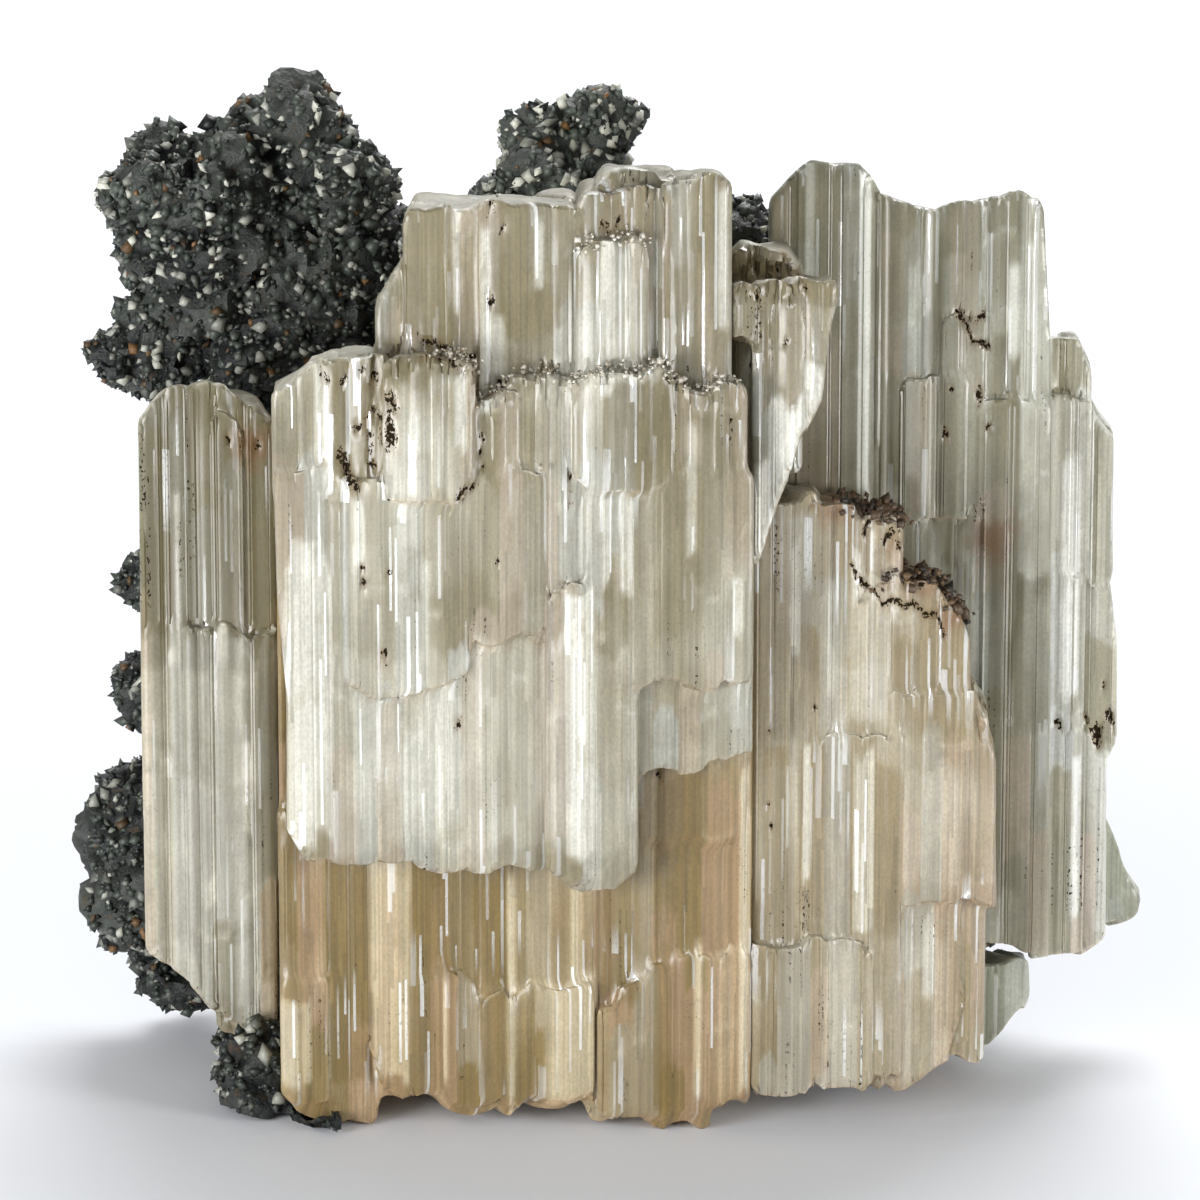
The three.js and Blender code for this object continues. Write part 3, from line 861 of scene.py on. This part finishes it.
def grow_crystal(
    node, seed, palette, coarser=1.0, marks=Marks(), blocks=(), dome=0.0,
    jag=(0.15, 0.4), press=(0.75, 0.45),
):
    """Makes a crystal's fine skin in place of its solid. The dome is how high its top swells and the jag
    how far its ends slide and arch, both in mm. The press is how much of its folds and ledges goes."""
    settings = bpy.context.scene.crystal_settings
    piece = merged_copy(node, node + "_faces")
    join_blocks(piece, node, blocks)
    even_skin(piece, settings.skin * coarser, settings.stretch)
    if dome:
        raise_dome(piece, dome * MM, DOME_DEPTH)
    striate(piece, node, seed, palette, marks, jag, press)
    shade(piece, CREASE)
    material = bpy.data.materials.get(palette.name) or crystal_material(palette)
    settle(piece, node, material)
    return piece


# Marks on the crystals' fronts, in mm. A facet is its left, right, foot and top, its tone, which is
# -1 where deep, 1 where milky or painted as a highlight, and more where it is painted glowing white, and
# the angle that it turns to the left.
# A groove is its place, foot, top, depth and width. A pit or a stain is its place, height and size.
# A crack is its path and the size of its pits.

FRONT_MARKS = Marks(
    facets=(
        (3.4, 7.1, 24.8, 32.0, -0.8, 0), (7.2, 10.2, 31.0, 42.5, -0.5, 0),
        (12.9, 16.4, 33.0, 42.5, -0.6, 2), (11.1, 12.9, 25.0, 30.0, -0.35, 0),
        (18.9, 23.1, 24.2, 30.4, -0.45, 1), (5.1, 6.3, 2.2, 12.0, -0.3, 0),
        (13.1, 14.9, 3.0, 15.0, -0.3, 0), (22.0, 24.6, 31.0, 37.0, -0.3, -2),
        (17.4, 22.5, 38.0, 42.5, -0.5, 0), (6.2, 10.8, 24.0, 30.5, 0.25, -2),
        (19.0, 22.0, 30.5, 38.0, 0.3, 2), (11.4, 12.9, 8.4, 15.5, 0.5, -4),
        (3.2, 20.6, 2.6, 14.5, 0.3, 0), (0.5, 3.2, 3.2, 19.5, 0.75, -4), (0.9, 2.1, 2.4, 21.2, 1.05, -14),
        (16.6, 18.2, 2.4, 18.5, 0.7, -4), (16.9, 17.6, 2.4, 18.4, 1.2, -13),
        (10.3, 11.0, 27.2, 31.2, 1.0, -11), (7.7, 8.2, 24.0, 29.0, 1.0, -13),
        (2.4, 3.1, 25.6, 31.0, 0.9, -8), (4.6, 5.1, 20.0, 24.0, 0.9, -8),
        (11.8, 12.3, 29.5, 39.0, 1.0, -13), (10.2, 10.6, 34.0, 40.5, 0.9, -13),
        (14.9, 15.4, 35.0, 39.5, 0.8, -8), (12.3, 13.1, 29.0, 33.6, 0.9, -8),
        (18.6, 19.3, 30.0, 38.5, 1.0, -10), (25.3, 25.8, 33.0, 41.5, 1.0, -13),
        (18.8, 19.2, 18.5, 24.0, 0.9, -10), (19.7, 20.5, 18.0, 24.0, 0.7, -6),
        (26.2, 26.7, 15.4, 18.0, 1.0, -10), (8.4, 8.8, 10.0, 20.0, 0.6, -6),
        (23.5, 24.1, 20.0, 28.0, 0.6, -6),
    ),
    grooves=(
        (8.2, -2, 4.0, 0.4, 0.3), (15.4, -2, 5.0, 0.5, 0.35), (10.7, 14.0, 24.0, 0.25, 0.3),
        (17.6, 24.0, 40.0, 0.4, 0.35), (22.9, 28.0, 42.0, 0.4, 0.35), (11.3, 30.0, 42.0, 0.35, 0.3),
        (4.2, 19.0, 31.0, 0.2, 0.25), (14.0, 15.0, 25.0, 0.25, 0.3), (21.0, 12.0, 24.0, 0.2, 0.3),
    ),
    pits=(
        (2.9, 30.6, 0.3), (3.9, 31.0, 0.3), (5.0, 31.2, 0.25), (5.7, 30.2, 0.35), (6.7, 29.5, 0.5),
        (6.6, 27.7, 0.5), (5.5, 27.2, 0.2), (5.5, 26.5, 0.2), (5.6, 25.5, 0.3), (11.8, 28.4, 0.15),
        (11.8, 27.6, 0.15), (11.8, 26.8, 0.15), (11.8, 25.8, 0.2), (5.0, 19.7, 0.2), (5.0, 18.5, 0.22),
        (6.5, 19.3, 0.22), (6.2, 14.2, 0.34), (10.4, 10.2, 0.28), (12.4, 40.0, 0.4), (12.3, 34.8, 0.35),
        (12.9, 29.6, 0.3), (13.1, 38.8, 0.25), (16.9, 24.6, 0.15), (16.9, 23.9, 0.15), (16.9, 23.2, 0.15),
        (12.7, 20.3, 0.13), (12.7, 19.4, 0.13), (12.7, 18.5, 0.13), (18.8, 39.2, 0.35),
        (19.6, 39.4, 0.25),
    ),
    cracks=(
        (((4.4, 28.0), (5.5, 28.5), (6.6, 28.2)), 0.2), (((3.7, 25.8), (4.2, 25.2), (4.7, 24.7)), 0.24),
        (((10.5, 24.0), (11.4, 24.6)), 0.22), (((8.3, 32.6), (9.8, 32.2), (11.4, 31.4)), 0.16),
    ),
)
BROKEN_MARKS = Marks(
    facets=(
        (0.0, 5.7, 15.6, 18.0, -0.7, 0), (0.9, 2.4, 0.4, 6.0, 1.1, 0), (2.0, 4.4, 2.4, 9.8, 1.2, 0),
        (3.8, 5.7, 5.4, 11.8, 1.1, 0), (0.4, 1.0, 5.0, 12.0, 0.9, -6), (1.6, 2.1, 9.0, 14.5, -0.6, 0),
    ),
    pits=((1.2, 16.4, 0.25), (2.4, 16.8, 0.2), (4.0, 16.2, 0.2), (3.0, 13.0, 0.15), (1.0, 11.0, 0.15)),
)
LOWER_MARKS = Marks(
    facets=(
        (2.6, 5.1, 8.6, 17.0, -1.0, 0), (7.7, 11.1, 9.8, 17.0, -0.9, 1),
        (11.1, 13.1, 9.0, 17.0, -0.6, -1), (18.4, 21.0, 8.4, 17.0, -1.0, 0),
        (2.8, 5.6, 2.6, 8.6, -0.5, 1), (21.8, 24.4, 11.6, 22.0, -0.6, 1),
        (21.8, 22.2, 1.5, 27.0, -1.0, 0), (21.8, 22.8, 1.5, 11.6, -0.8, 0),
        (7.3, 12.9, 2.0, 9.6, -0.25, 0), (5.2, 7.1, 3.2, 17.0, 0.6, -3), (15.4, 18.3, 2.0, 9.6, 0.6, 2),
        (20.9, 27.2, 22.8, 27.5, 0.3, 0), (24.4, 27.0, 2.0, 11.0, 0.2, 0),
        (13.2, 13.6, 2.0, 17.0, 1.0, -13), (0.0, 0.9, 2.6, 7.8, 1.0, -17), (1.2, 1.6, 3.0, 8.6, 0.9, -11),
        (24.1, 24.5, 2.0, 11.0, 0.9, -10), (7.0, 7.4, 2.5, 17.0, 0.8, -10),
        (26.7, 27.2, 2.0, 22.0, 1.0, -13), (16.9, 17.4, 2.5, 17.0, 0.7, -6),
        (9.4, 9.7, 3.0, 9.0, 0.6, -6),
    ),
    grooves=(
        (5.2, 2, 19, 0.35, 0.3), (7.3, 2, 19, 0.2, 0.25), (13.1, 0, 19, 0.35, 0.3),
        (18.4, 0, 19, 0.4, 0.3), (24.4, 0, 24, 0.3, 0.3), (10.9, 0, 10, 0.3, 0.3), (1.8, 0, 12, 0.2, 0.3),
    ),
    pits=((22.0, 21.8, 0.3), (10.5, 4.6, 0.15), (20.0, 6.2, 0.12), (20.6, 4.8, 0.12)),
)
RIGHT_FRONT_MARKS = Marks(
    facets=(
        (0.6, 1.9, 9.8, 21.2, -0.8, 0), (0.6, 1.9, 0.5, 9.8, -0.4, 0), (2.7, 4.4, 10.6, 20.5, -0.35, 1),
        (7.1, 8.7, 10.6, 19.6, -0.6, 0), (3.2, 5.5, 31.0, 37.0, -0.7, 1),
        (8.1, 12.2, 22.6, 28.0, -0.15, -1), (5.5, 7.8, 22.6, 31.5, 0.35, -2),
        (5.8, 7.0, 9.6, 20.8, 0.7, -2), (8.7, 12.0, 12.8, 20.0, 0.25, 0), (4.0, 11.5, 0.5, 9.6, 0.25, 0),
        (2.9, 3.3, 12.4, 20.8, 1.0, -11), (2.1, 2.6, 27.0, 33.4, 1.0, -11),
        (9.9, 10.5, 6.2, 10.8, 0.9, -8), (4.2, 4.6, 24.4, 30.4, 0.8, -8),
        (5.6, 6.1, 30.0, 33.0, 1.0, -10), (6.6, 6.9, 29.8, 33.4, 1.0, -10),
        (7.9, 8.3, 29.0, 32.4, 1.0, -10),
    ),
    grooves=(
        (2.0, 0, 24, 0.3, 0.3), (4.5, 0, 36, 0.25, 0.3), (7.1, 2, 22, 0.3, 0.3), (8.8, 6, 22, 0.25, 0.3),
    ),
    pits=(
        (0.8, 22.4, 0.2), (0.8, 18.0, 0.15), (1.0, 16.6, 0.15), (3.5, 23.4, 0.2), (7.6, 33.8, 0.4),
        (8.4, 33.0, 0.4), (6.4, 34.4, 0.35), (8.8, 31.6, 0.35), (9.6, 31.2, 0.3),
    ),
    cracks=((((5.5, 31.5), (7.0, 30.4), (9.4, 29.6), (11.0, 28.4)), 0.16),),
    stains=((9.6, 32.0, 2.2), (4.6, 35.2, 1.2), (11.4, 29.0, 1.2)),
)
TALL_RIGHT_MARKS = Marks(
    facets=(
        (9.6, 11.2, 42.6, 46.4, -0.8, 0), (12.8, 14.8, 4.0, 38.6, -0.4, 0),
        (0.2, 1.8, 38.0, 48.0, -0.5, 4), (2.4, 4.8, 30.0, 48.0, -0.3, 0), (6.0, 7.8, 29.0, 47.0, -0.3, 2),
        (4.9, 5.6, 29.0, 49.0, 0.6, -6), (1.8, 2.3, 38.0, 48.0, 0.5, -6), (7.8, 8.6, 29.5, 42.4, 0.35, 0),
        (13.7, 14.3, 37.0, 42.4, 1.0, -8), (14.4, 16.4, 24.0, 47.0, 0.4, 2),
        (10.8, 11.8, 24.0, 37.0, 0.25, 0),
    ),
    grooves=(
        (5.8, 27, 52, 0.7, 0.45), (9.4, 27, 52, 0.8, 0.45), (14.3, 20, 52, 0.35, 0.4),
        (0.9, 30, 50, 0.3, 0.4), (12.7, 4, 38, 0.3, 0.35),
    ),
    pits=(
        (12.5, 37.5, 0.25), (10.1, 32.2, 0.3), (12.6, 32.5, 0.25), (12.0, 34.8, 0.25), (10.4, 34.6, 0.2),
    ),
    cracks=(
        (((10.7, 39.4), (11.0, 38.6), (12.0, 38.0), (12.5, 37.5)), 0.18),
        (((10.9, 39.7), (12.2, 39.2)), 0.13),
    ),
    stains=((13.0, 26.0, 1.4),),
)
FAR_RIGHT_MARKS = Marks(
    facets=(
        (0.7, 3.1, 34.8, 38.4, -0.9, 0), (2.8, 4.8, 14.2, 20.2, -1.0, 0), (1.3, 2.5, 16.5, 31.0, 0.7, -4),
        (0.0, 0.7, 16.0, 22.6, 1.0, -8), (2.2, 2.8, 3.0, 13.0, 0.8, -6),
    ),
    grooves=((1.1, 0, 36, 0.3, 0.3), (2.7, 0, 30, 0.3, 0.3)),
    pits=((1.3, 14.6, 0.35), (3.6, 14.8, 0.4), (4.4, 15.6, 0.35), (3.0, 15.4, 0.2), (4.0, 17.6, 0.2)),
)
LEFT_MARKS = Marks(
    facets=(
        (0.0, 7.9, 25.0, 40.0, -0.5, 0), (6.4, 7.9, 24.0, 37.4, -0.8, 0), (3.5, 6.6, 25.4, 38.4, -0.4, 1),
        (1.6, 2.9, 5.0, 11.7, -0.7, 0), (0.6, 1.3, 5.0, 10.8, 0.7, -6), (1.9, 2.3, 24.0, 33.0, 0.5, -6),
        (4.4, 5.0, 10.0, 25.0, 0.5, -6), (1.5, 2.2, 15.0, 24.0, 0.5, -4), (4.3, 5.0, 2.6, 11.4, 1.0, -11),
        (5.9, 6.7, 1.0, 8.3, 1.0, -14), (0.0, 7.9, 0.0, 23.0, 0.25, 0), (5.8, 6.2, 13.2, 18.0, 0.9, -10),
        (3.6, 4.1, 8.4, 10.0, 0.9, -8), (6.8, 7.9, 4.0, 24.0, -0.4, 0),
    ),
    grooves=((3.2, 3, 37, 0.2, 0.35), (5.4, 0, 37, 0.25, 0.35), (6.8, 0, 36, 0.15, 0.3)),
    pits=((5.2, 37.0, 0.2), (6.0, 36.4, 0.2), (6.9, 36.6, 0.25), (4.2, 37.2, 0.15)),
    stains=((6.6, 36.8, 1.4),),
)


# Grains

# How level a ledge is where crumbs stay, where the rock's pale summit begins, how far grains may pass
# the solids' box, and how many times the usual size the largest grain has
LEVEL_ENOUGH = 0.45
SUMMIT_FOOT = 44 * MM
PAST_BOX = 0.5 * MM
LARGEST_GRAIN = 1.7


def summit(x):
    """One on the pale middle of the rock's top, softly zero at its left and right."""
    return window(x, -7 * MM, 6 * MM, 2 * MM)


def grain_shape():
    """Corners and faces of a small blunt grain, one unit long."""
    corners = [(0.42, 0, 0), (0, 0.36, 0), (-0.42, 0, 0), (0, -0.36, 0), (0, 0, -0.5), (0, 0, 0.5)]
    faces = []
    for i in range(4):
        j = (i + 1) % 4
        faces += [(j, i, 4), (i, j, 5)]
    return np.array(corners), np.array(faces)


def random_turns(rng, count):
    """Evenly spread rotation matrices."""
    quaternions = rng.normal(size=(count, 4))
    quaternions /= np.linalg.norm(quaternions, axis=1)[:, None]
    w, x, y, z = quaternions.T
    rows = [
        [1 - 2 * (y * y + z * z), 2 * (x * y - z * w), 2 * (x * z + y * w)],
        [2 * (x * y + z * w), 1 - 2 * (x * x + z * z), 2 * (y * z - x * w)],
        [2 * (x * z - y * w), 2 * (y * z + x * w), 1 - 2 * (x * x + y * y)],
    ]
    return np.array(rows).transpose(2, 0, 1)


def scatter_grains(name, places, sizes, rng):
    """One mesh of many small crystals."""
    corners, faces = grain_shape()
    count = len(places)
    turns = random_turns(rng, count)
    shapes = corners[None] * rng.uniform(0.6, 1.4, (count, 1, 3)) * sizes[:, None, None]
    points = np.einsum("nij,nkj->nki", turns, shapes) + places[:, None, :]
    all_faces = faces[None] + (np.arange(count) * len(corners))[:, None, None]
    mesh = bpy.data.meshes.new(name)
    mesh.from_pydata(points.reshape(-1, 3).tolist(), [], all_faces.reshape(-1, 3).tolist())
    mesh.shade_smooth()
    mesh.update()
    piece = bpy.data.objects.new(name, mesh)
    bpy.context.collection.objects.link(piece)
    high = rise(places[:, 2], 42 * MM, 56 * MM)
    pale = rng.uniform(0, 1, count) * (0.6 + 0.5 * high + 1.1 * high * summit(places[:, 0]))
    write_values(piece, "grain", np.repeat(pale, len(corners)))
    return piece


def spots_on(piece, count, rng):
    """Random places spread evenly over a piece's surface."""
    mesh = piece.data
    mesh.calc_loop_triangles()
    triangles = np.empty(len(mesh.loop_triangles) * 3, dtype=np.int64)
    mesh.loop_triangles.foreach_get("vertices", triangles)
    points = read_points(piece)[triangles.reshape(-1, 3)]
    areas = np.linalg.norm(np.cross(points[:, 1] - points[:, 0], points[:, 2] - points[:, 0]), axis=1)
    chosen = points[rng.choice(len(points), count, p=areas / areas.sum())]
    first, second = rng.uniform(size=(2, count, 1))
    outside = first + second > 1
    first = np.where(outside, 1 - first, first)
    second = np.where(outside, 1 - second, second)
    corner = chosen[:, 0]
    return corner + first * (chosen[:, 1] - corner) + second * (chosen[:, 2] - corner)


def clear_of_crystals(places, margin):
    """True for each place outside every crystal's box."""
    free = np.ones(len(places), dtype=bool)
    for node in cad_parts:
        if node == "matrix":
            continue
        low, high = (np.array(corner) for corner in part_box(node))
        free &= ~np.all((places > low - margin) & (places < high + margin), axis=1)
    return free


def crumble(name, piece, count, low, high, size, material, rng):
    """Scatters small grains on the ledges of a piece between two corners, in mm."""
    points = read_points(piece)
    level = read_normals(piece)[:, 2] > LEVEL_ENOUGH
    on_ledge = level & np.all((points > low * MM) & (points < high * MM), axis=1)
    places = points[on_ledge][rng.integers(0, on_ledge.sum(), count)]
    places += rng.normal(0, 0.28 * MM, places.shape)
    grains = scatter_grains(name, places, size * MM * rng.lognormal(0, 0.35, count), rng)
    settle(grains, None, material)


# Stage

VIEW_TARGET = Vector((-0.7, -17.6, 33.8)) * MM
BACKDROP_TARGET = Vector((0, 0.36, 0))
WORLD_COLOUR = (0.93, 0.96, 1.0, 1)
WORLD_STRENGTH = 0.15

# Lights: name, place in mm, width and height in mm, and power in watts
LIGHTS = (
    ("key", (-420, -420, 520), 240, 240, 0.45),
    ("low left panel", (-125, -125, 38), 90, 70, 0.26),
    ("low right panel", (150, -100, 40), 50, 70, 0.20),
    ("front fill", (-60, -520, 260), 300, 200, 0.36),
    ("rear panel", (60, 260, 380), 300, 200, 1.5),
)


def aim(thing, target):
    thing.rotation_euler = (target - thing.location).to_track_quat("-Z", "Y").to_euler()


def add_camera(settings, target):
    camera = bpy.data.objects.new("camera", bpy.data.cameras.new("camera"))
    camera.data.sensor_width = 36
    camera.data.lens = settings.focal_length
    camera.data.clip_start = 0.01
    back = Vector((0, -math.cos(settings.elevation), math.sin(settings.elevation)))
    camera.location = target + settings.distance * back
    aim(camera, target)
    bpy.context.collection.objects.link(camera)
    bpy.context.scene.camera = camera


def add_light(name, place, width, height, power, target):
    light = bpy.data.lights.new(name, "AREA")
    light.shape = "RECTANGLE"
    light.size = width * MM
    light.size_y = height * MM
    light.energy = power
    lamp = bpy.data.objects.new(name, light)
    lamp.location = Vector(place) * MM
    aim(lamp, target)
    bpy.context.collection.objects.link(lamp)


# Operators


class CRYSTAL_OT_front(bpy.types.Operator):
    """Grow the cream crystals at the front"""

    bl_idname = "crystal.front"
    bl_label = "Front crystals"

    def execute(self, context):
        settings = context.scene.crystal_settings
        cream = Palette(
            "cream crystal", (0.572, 0.559, 0.474), settings.cream, (0.285, 0.239, 0.126),
            (0.46, 0.375, 0.26), (0.455, 0.468, 0.42), 0.42, 1, (30, 62),
        )
        grow_crystal("front_crystal", 11, cream, 1.36, FRONT_MARKS)
        grow_crystal("broken_crystal", 12, cream, 1.0, BROKEN_MARKS)
        low, high = (np.array(corner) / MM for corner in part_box("front_crystal"))
        ledge = bpy.data.objects["front_crystal_faces"]
        white = grain_material("white crumbs", (0.30, 0.25, 0.17), (0.74, 0.71, 0.62), 0.3)
        rng = np.random.default_rng(6)
        low += (9.0, 0.5, 20.0)
        high -= (1.0, 1.0, 3.0)
        crumble("white_crumbs", ledge, 900, low, high, 0.24, white, rng)
        return {"FINISHED"}


class CRYSTAL_OT_lower(bpy.types.Operator):
    """Grow the tan crystals below and to the right"""

    bl_idname = "crystal.lower"
    bl_label = "Lower crystals"

    def execute(self, context):
        settings = context.scene.crystal_settings
        tan = Palette(
            "tan crystal", (0.531, 0.454, 0.297), settings.tan, (0.281, 0.189, 0.0462),
            (0.469, 0.302, 0.155), (0.47, 0.405, 0.265), 0.45, 2,
        )
        pale_tan = Palette(
            "pale tan crystal", (0.54, 0.515, 0.42), settings.pale_tan, (0.35, 0.272, 0.14),
            (0.485, 0.36, 0.237), (0.49, 0.468, 0.375), 0.38, 3,
        )
        shelf_back = ((20.6, 0.2, 17.5), (27.0, 6.0, 27.0), 0.5)
        grow_crystal(
            "lower_crystal", 21, tan, 1.44, LOWER_MARKS, [shelf_back], jag=(0.2, 0.75),
        )
        grow_crystal("right_front_crystal", 22, pale_tan, 1.0, RIGHT_FRONT_MARKS)
        grow_crystal("foot_crystal", 23, tan)
        low, high = (np.array(corner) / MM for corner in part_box("right_front_crystal"))
        ledge = bpy.data.objects["right_front_crystal_faces"]
        brown = grain_material("brown crumbs", (0.012, 0.010, 0.008), (0.22, 0.13, 0.06), 0.5)
        rng = np.random.default_rng(5)
        low += (5.0, 1.0, 27.0)
        high += (0.0, 1.0, 0.6)
        crumble("crumbs", ledge, 600, low, high, 0.5, brown, rng)
        return {"FINISHED"}


class CRYSTAL_OT_rear(bpy.types.Operator):
    """Grow the grey crystals at the left, at the right and behind"""

    bl_idname = "crystal.rear"
    bl_label = "Rear crystals"

    def execute(self, context):
        settings = context.scene.crystal_settings
        grey = Palette(
            "grey crystal", (0.60, 0.605, 0.52), settings.grey, (0.25, 0.226, 0.132),
            (0.466, 0.382, 0.269), (0.466, 0.49, 0.461), 0.42, 4, (15, 55), 0.55,
        )
        pale_grey = Palette(
            "pale grey crystal", (0.882, 0.882, 0.823), settings.pale_grey, (0.412, 0.382, 0.255),
            (0.706, 0.608, 0.48), (0.745, 0.774, 0.764), 0.3, 5,
        )
        olive = Palette(
            "olive crystal", (0.69, 0.665, 0.555), settings.olive, (0.215, 0.185, 0.092),
            (0.53, 0.40, 0.25), (0.48, 0.485, 0.43), 0.42, 7, (15, 50), 0.55,
        )
        green = Palette(
            "green crystal", (0.607, 0.616, 0.524), settings.green, (0.239, 0.248, 0.147),
            (0.46, 0.405, 0.304), (0.478, 0.497, 0.442), 0.4, 6,
        )
        grow_crystal(
            "tall_right_crystal", 31, grey, 1.1, TALL_RIGHT_MARKS,
            jag=(0.08, 0.25), press=(0.9, 0.4),
        )
        grow_crystal(
            "far_right_crystal", 32, pale_grey, 1.0, FAR_RIGHT_MARKS,
            jag=(0.12, 0.3), press=(0.85, 0.3),
        )
        grow_crystal(
            "left_crystal", 33, olive, 1.0, LEFT_MARKS,
            dome=2.0, jag=(0.1, 0.3), press=(0.85, 0.3),
        )
        grow_crystal("green_crystal", 34, green)
        grow_crystal("wedge_crystal", 35, green)
        return {"FINISHED"}


class CRYSTAL_OT_rock(bpy.types.Operator):
    """Make the dark rock"""

    bl_idname = "crystal.rock"
    bl_label = "Rock"

    def execute(self, context):
        settings = context.scene.rock_settings
        piece = merged_copy("matrix", "rock")
        even_skin(piece, settings.skin)
        points = read_points(piece)
        normals = read_normals(piece)
        lumps = rough_noise(points, 3.6 * MM, 2, 5) * 2 - 1
        ridges = 0.5 - np.abs(rough_noise(points, 1.5 * MM, 2, 9) - 0.5) * 4
        lift = (1.6 * lumps + 0.9 * ridges) * settings.crust
        off_ground = np.clip(points[:, 2] / (0.8 * MM), 0, 1)
        points += normals * (lift * off_ground)[:, None]
        points[:, 2] = np.maximum(points[:, 2], 0)
        write_points(piece, points)
        # Where the crust sinks the rock is painted near black as shade in its hollows; higher up and at
        # the summit it is paler
        pale_top = 0.3 * rise(points[:, 2], SUMMIT_FOOT, 57 * MM)
        pale_top *= 1 + 2.5 * summit(points[:, 0])
        write_values(piece, "lift", rise(lift, -0.9 * MM, 1.1 * MM) + pale_top)
        shade(piece, 40)
        stone = rock_material("dark rock", settings.shaded_hollow_stone, settings.pale_stone, settings.rusty_stone)
        settle(piece, "matrix", stone)
        return {"FINISHED"}


class CRYSTAL_OT_grains(bpy.types.Operator):
    """Scatter small crystals over the rock"""

    bl_idname = "crystal.grains"
    bl_label = "Grains"

    def execute(self, context):
        settings = context.scene.rock_settings
        rng = np.random.default_rng(77)
        rock = bpy.data.objects["rock"]
        kinds = [
            ("dark_grains", settings.dark_grains, (0.002, 0.004, 0.003), (0.095, 0.112, 0.09), 0.45),
            ("pale_grains", settings.pale_grains, (0.03, 0.036, 0.028), (0.72, 0.72, 0.62), 0.42),
            ("rust_grains", settings.rust_grains, (0.06, 0.035, 0.015), (0.26, 0.13, 0.045), 0.55),
            ("summit_grains", settings.pale_grains, (0.11, 0.118, 0.09), (0.55, 0.55, 0.46), 0.5),
        ]
        low = np.array(SOLID_BOX[0]) - PAST_BOX
        high = np.array(SOLID_BOX[1]) + PAST_BOX
        for name, count, first, second, roughness in kinds:
            places = spots_on(rock, count, rng)
            places = places[clear_of_crystals(places, -0.2 * MM)]
            if name == "summit_grains":
                near_middle = np.abs(places[:, 0] + 1.5 * MM) < 7 * MM
                places = places[(places[:, 2] > SUMMIT_FOOT) & near_middle]
            sizes = settings.grain * np.minimum(rng.lognormal(0, 0.4, len(places)), LARGEST_GRAIN)
            reach = sizes[:, None]
            inside = np.all((places - reach > low) & (places + reach < high), axis=1)
            inside &= places[:, 2] - sizes * 0.6 > 0
            piece = scatter_grains(name, places[inside], sizes[inside], rng)
            settle(piece, None, grain_material(name, first, second, roughness))
        return {"FINISHED"}


class CRYSTAL_OT_stage(bpy.types.Operator):
    """Set up the floor, the lights and the camera"""

    bl_idname = "crystal.stage"
    bl_label = "Stage"

    def execute(self, context):
        settings = context.scene.stage_settings
        deselect_everything()
        bpy.ops.mesh.primitive_plane_add(size=4, location=(0, 0, 0))
        floor = bpy.context.object
        floor.name = "floor"
        nodes = Nodes("pale floor")
        nodes.set_shader(Base_Color=(*settings.floor_colour, 1), Roughness=0.7)
        floor.data.materials.append(nodes.material)
        add_camera(settings, VIEW_TARGET)
        for light in LIGHTS:
            add_light(*light, VIEW_TARGET)
        add_light("backdrop", (0, 600, 400), 1200, 400, 3.3, BACKDROP_TARGET)
        world = bpy.data.worlds.new("studio")
        world.use_nodes = True
        background = world.node_tree.nodes["Background"]
        background.inputs["Color"].default_value = WORLD_COLOUR
        background.inputs["Strength"].default_value = WORLD_STRENGTH
        context.scene.world = world
        context.scene.view_settings.view_transform = "Standard"
        return {"FINISHED"}


class CRYSTAL_PT_panel(bpy.types.Panel):
    """Lists the pieces and their settings"""

    bl_label = "Cerussite crystal group"
    bl_idname = "CRYSTAL_PT_panel"
    bl_space_type = "VIEW_3D"
    bl_region_type = "UI"
    bl_category = "Crystals"

    def draw(self, context):
        scene = context.scene
        for settings in (scene.crystal_settings, scene.rock_settings, scene.stage_settings):
            for key in settings.__annotations__:
                self.layout.prop(settings, key)
        for operator in OPERATORS:
            self.layout.operator(operator.bl_idname)


OPERATORS = (
    CRYSTAL_OT_front,
    CRYSTAL_OT_lower,
    CRYSTAL_OT_rear,
    CRYSTAL_OT_rock,
    CRYSTAL_OT_grains,
    CRYSTAL_OT_stage,
)
CLASSES = (CrystalSettings, RockSettings, StageSettings, *OPERATORS, CRYSTAL_PT_panel)


def register():
    for cls in CLASSES:
        bpy.utils.register_class(cls)
    bpy.types.Scene.crystal_settings = PointerProperty(type=CrystalSettings)
    bpy.types.Scene.rock_settings = PointerProperty(type=RockSettings)
    bpy.types.Scene.stage_settings = PointerProperty(type=StageSettings)


def unregister():
    del bpy.types.Scene.stage_settings
    del bpy.types.Scene.rock_settings
    del bpy.types.Scene.crystal_settings
    for cls in reversed(CLASSES):
        bpy.utils.unregister_class(cls)


def main():
    register()
    bpy.ops.crystal.front()
    bpy.ops.crystal.lower()
    bpy.ops.crystal.rear()
    bpy.ops.crystal.rock()
    bpy.ops.crystal.grains()
    bpy.ops.crystal.stage()


if __name__ == "__main__":
    main()
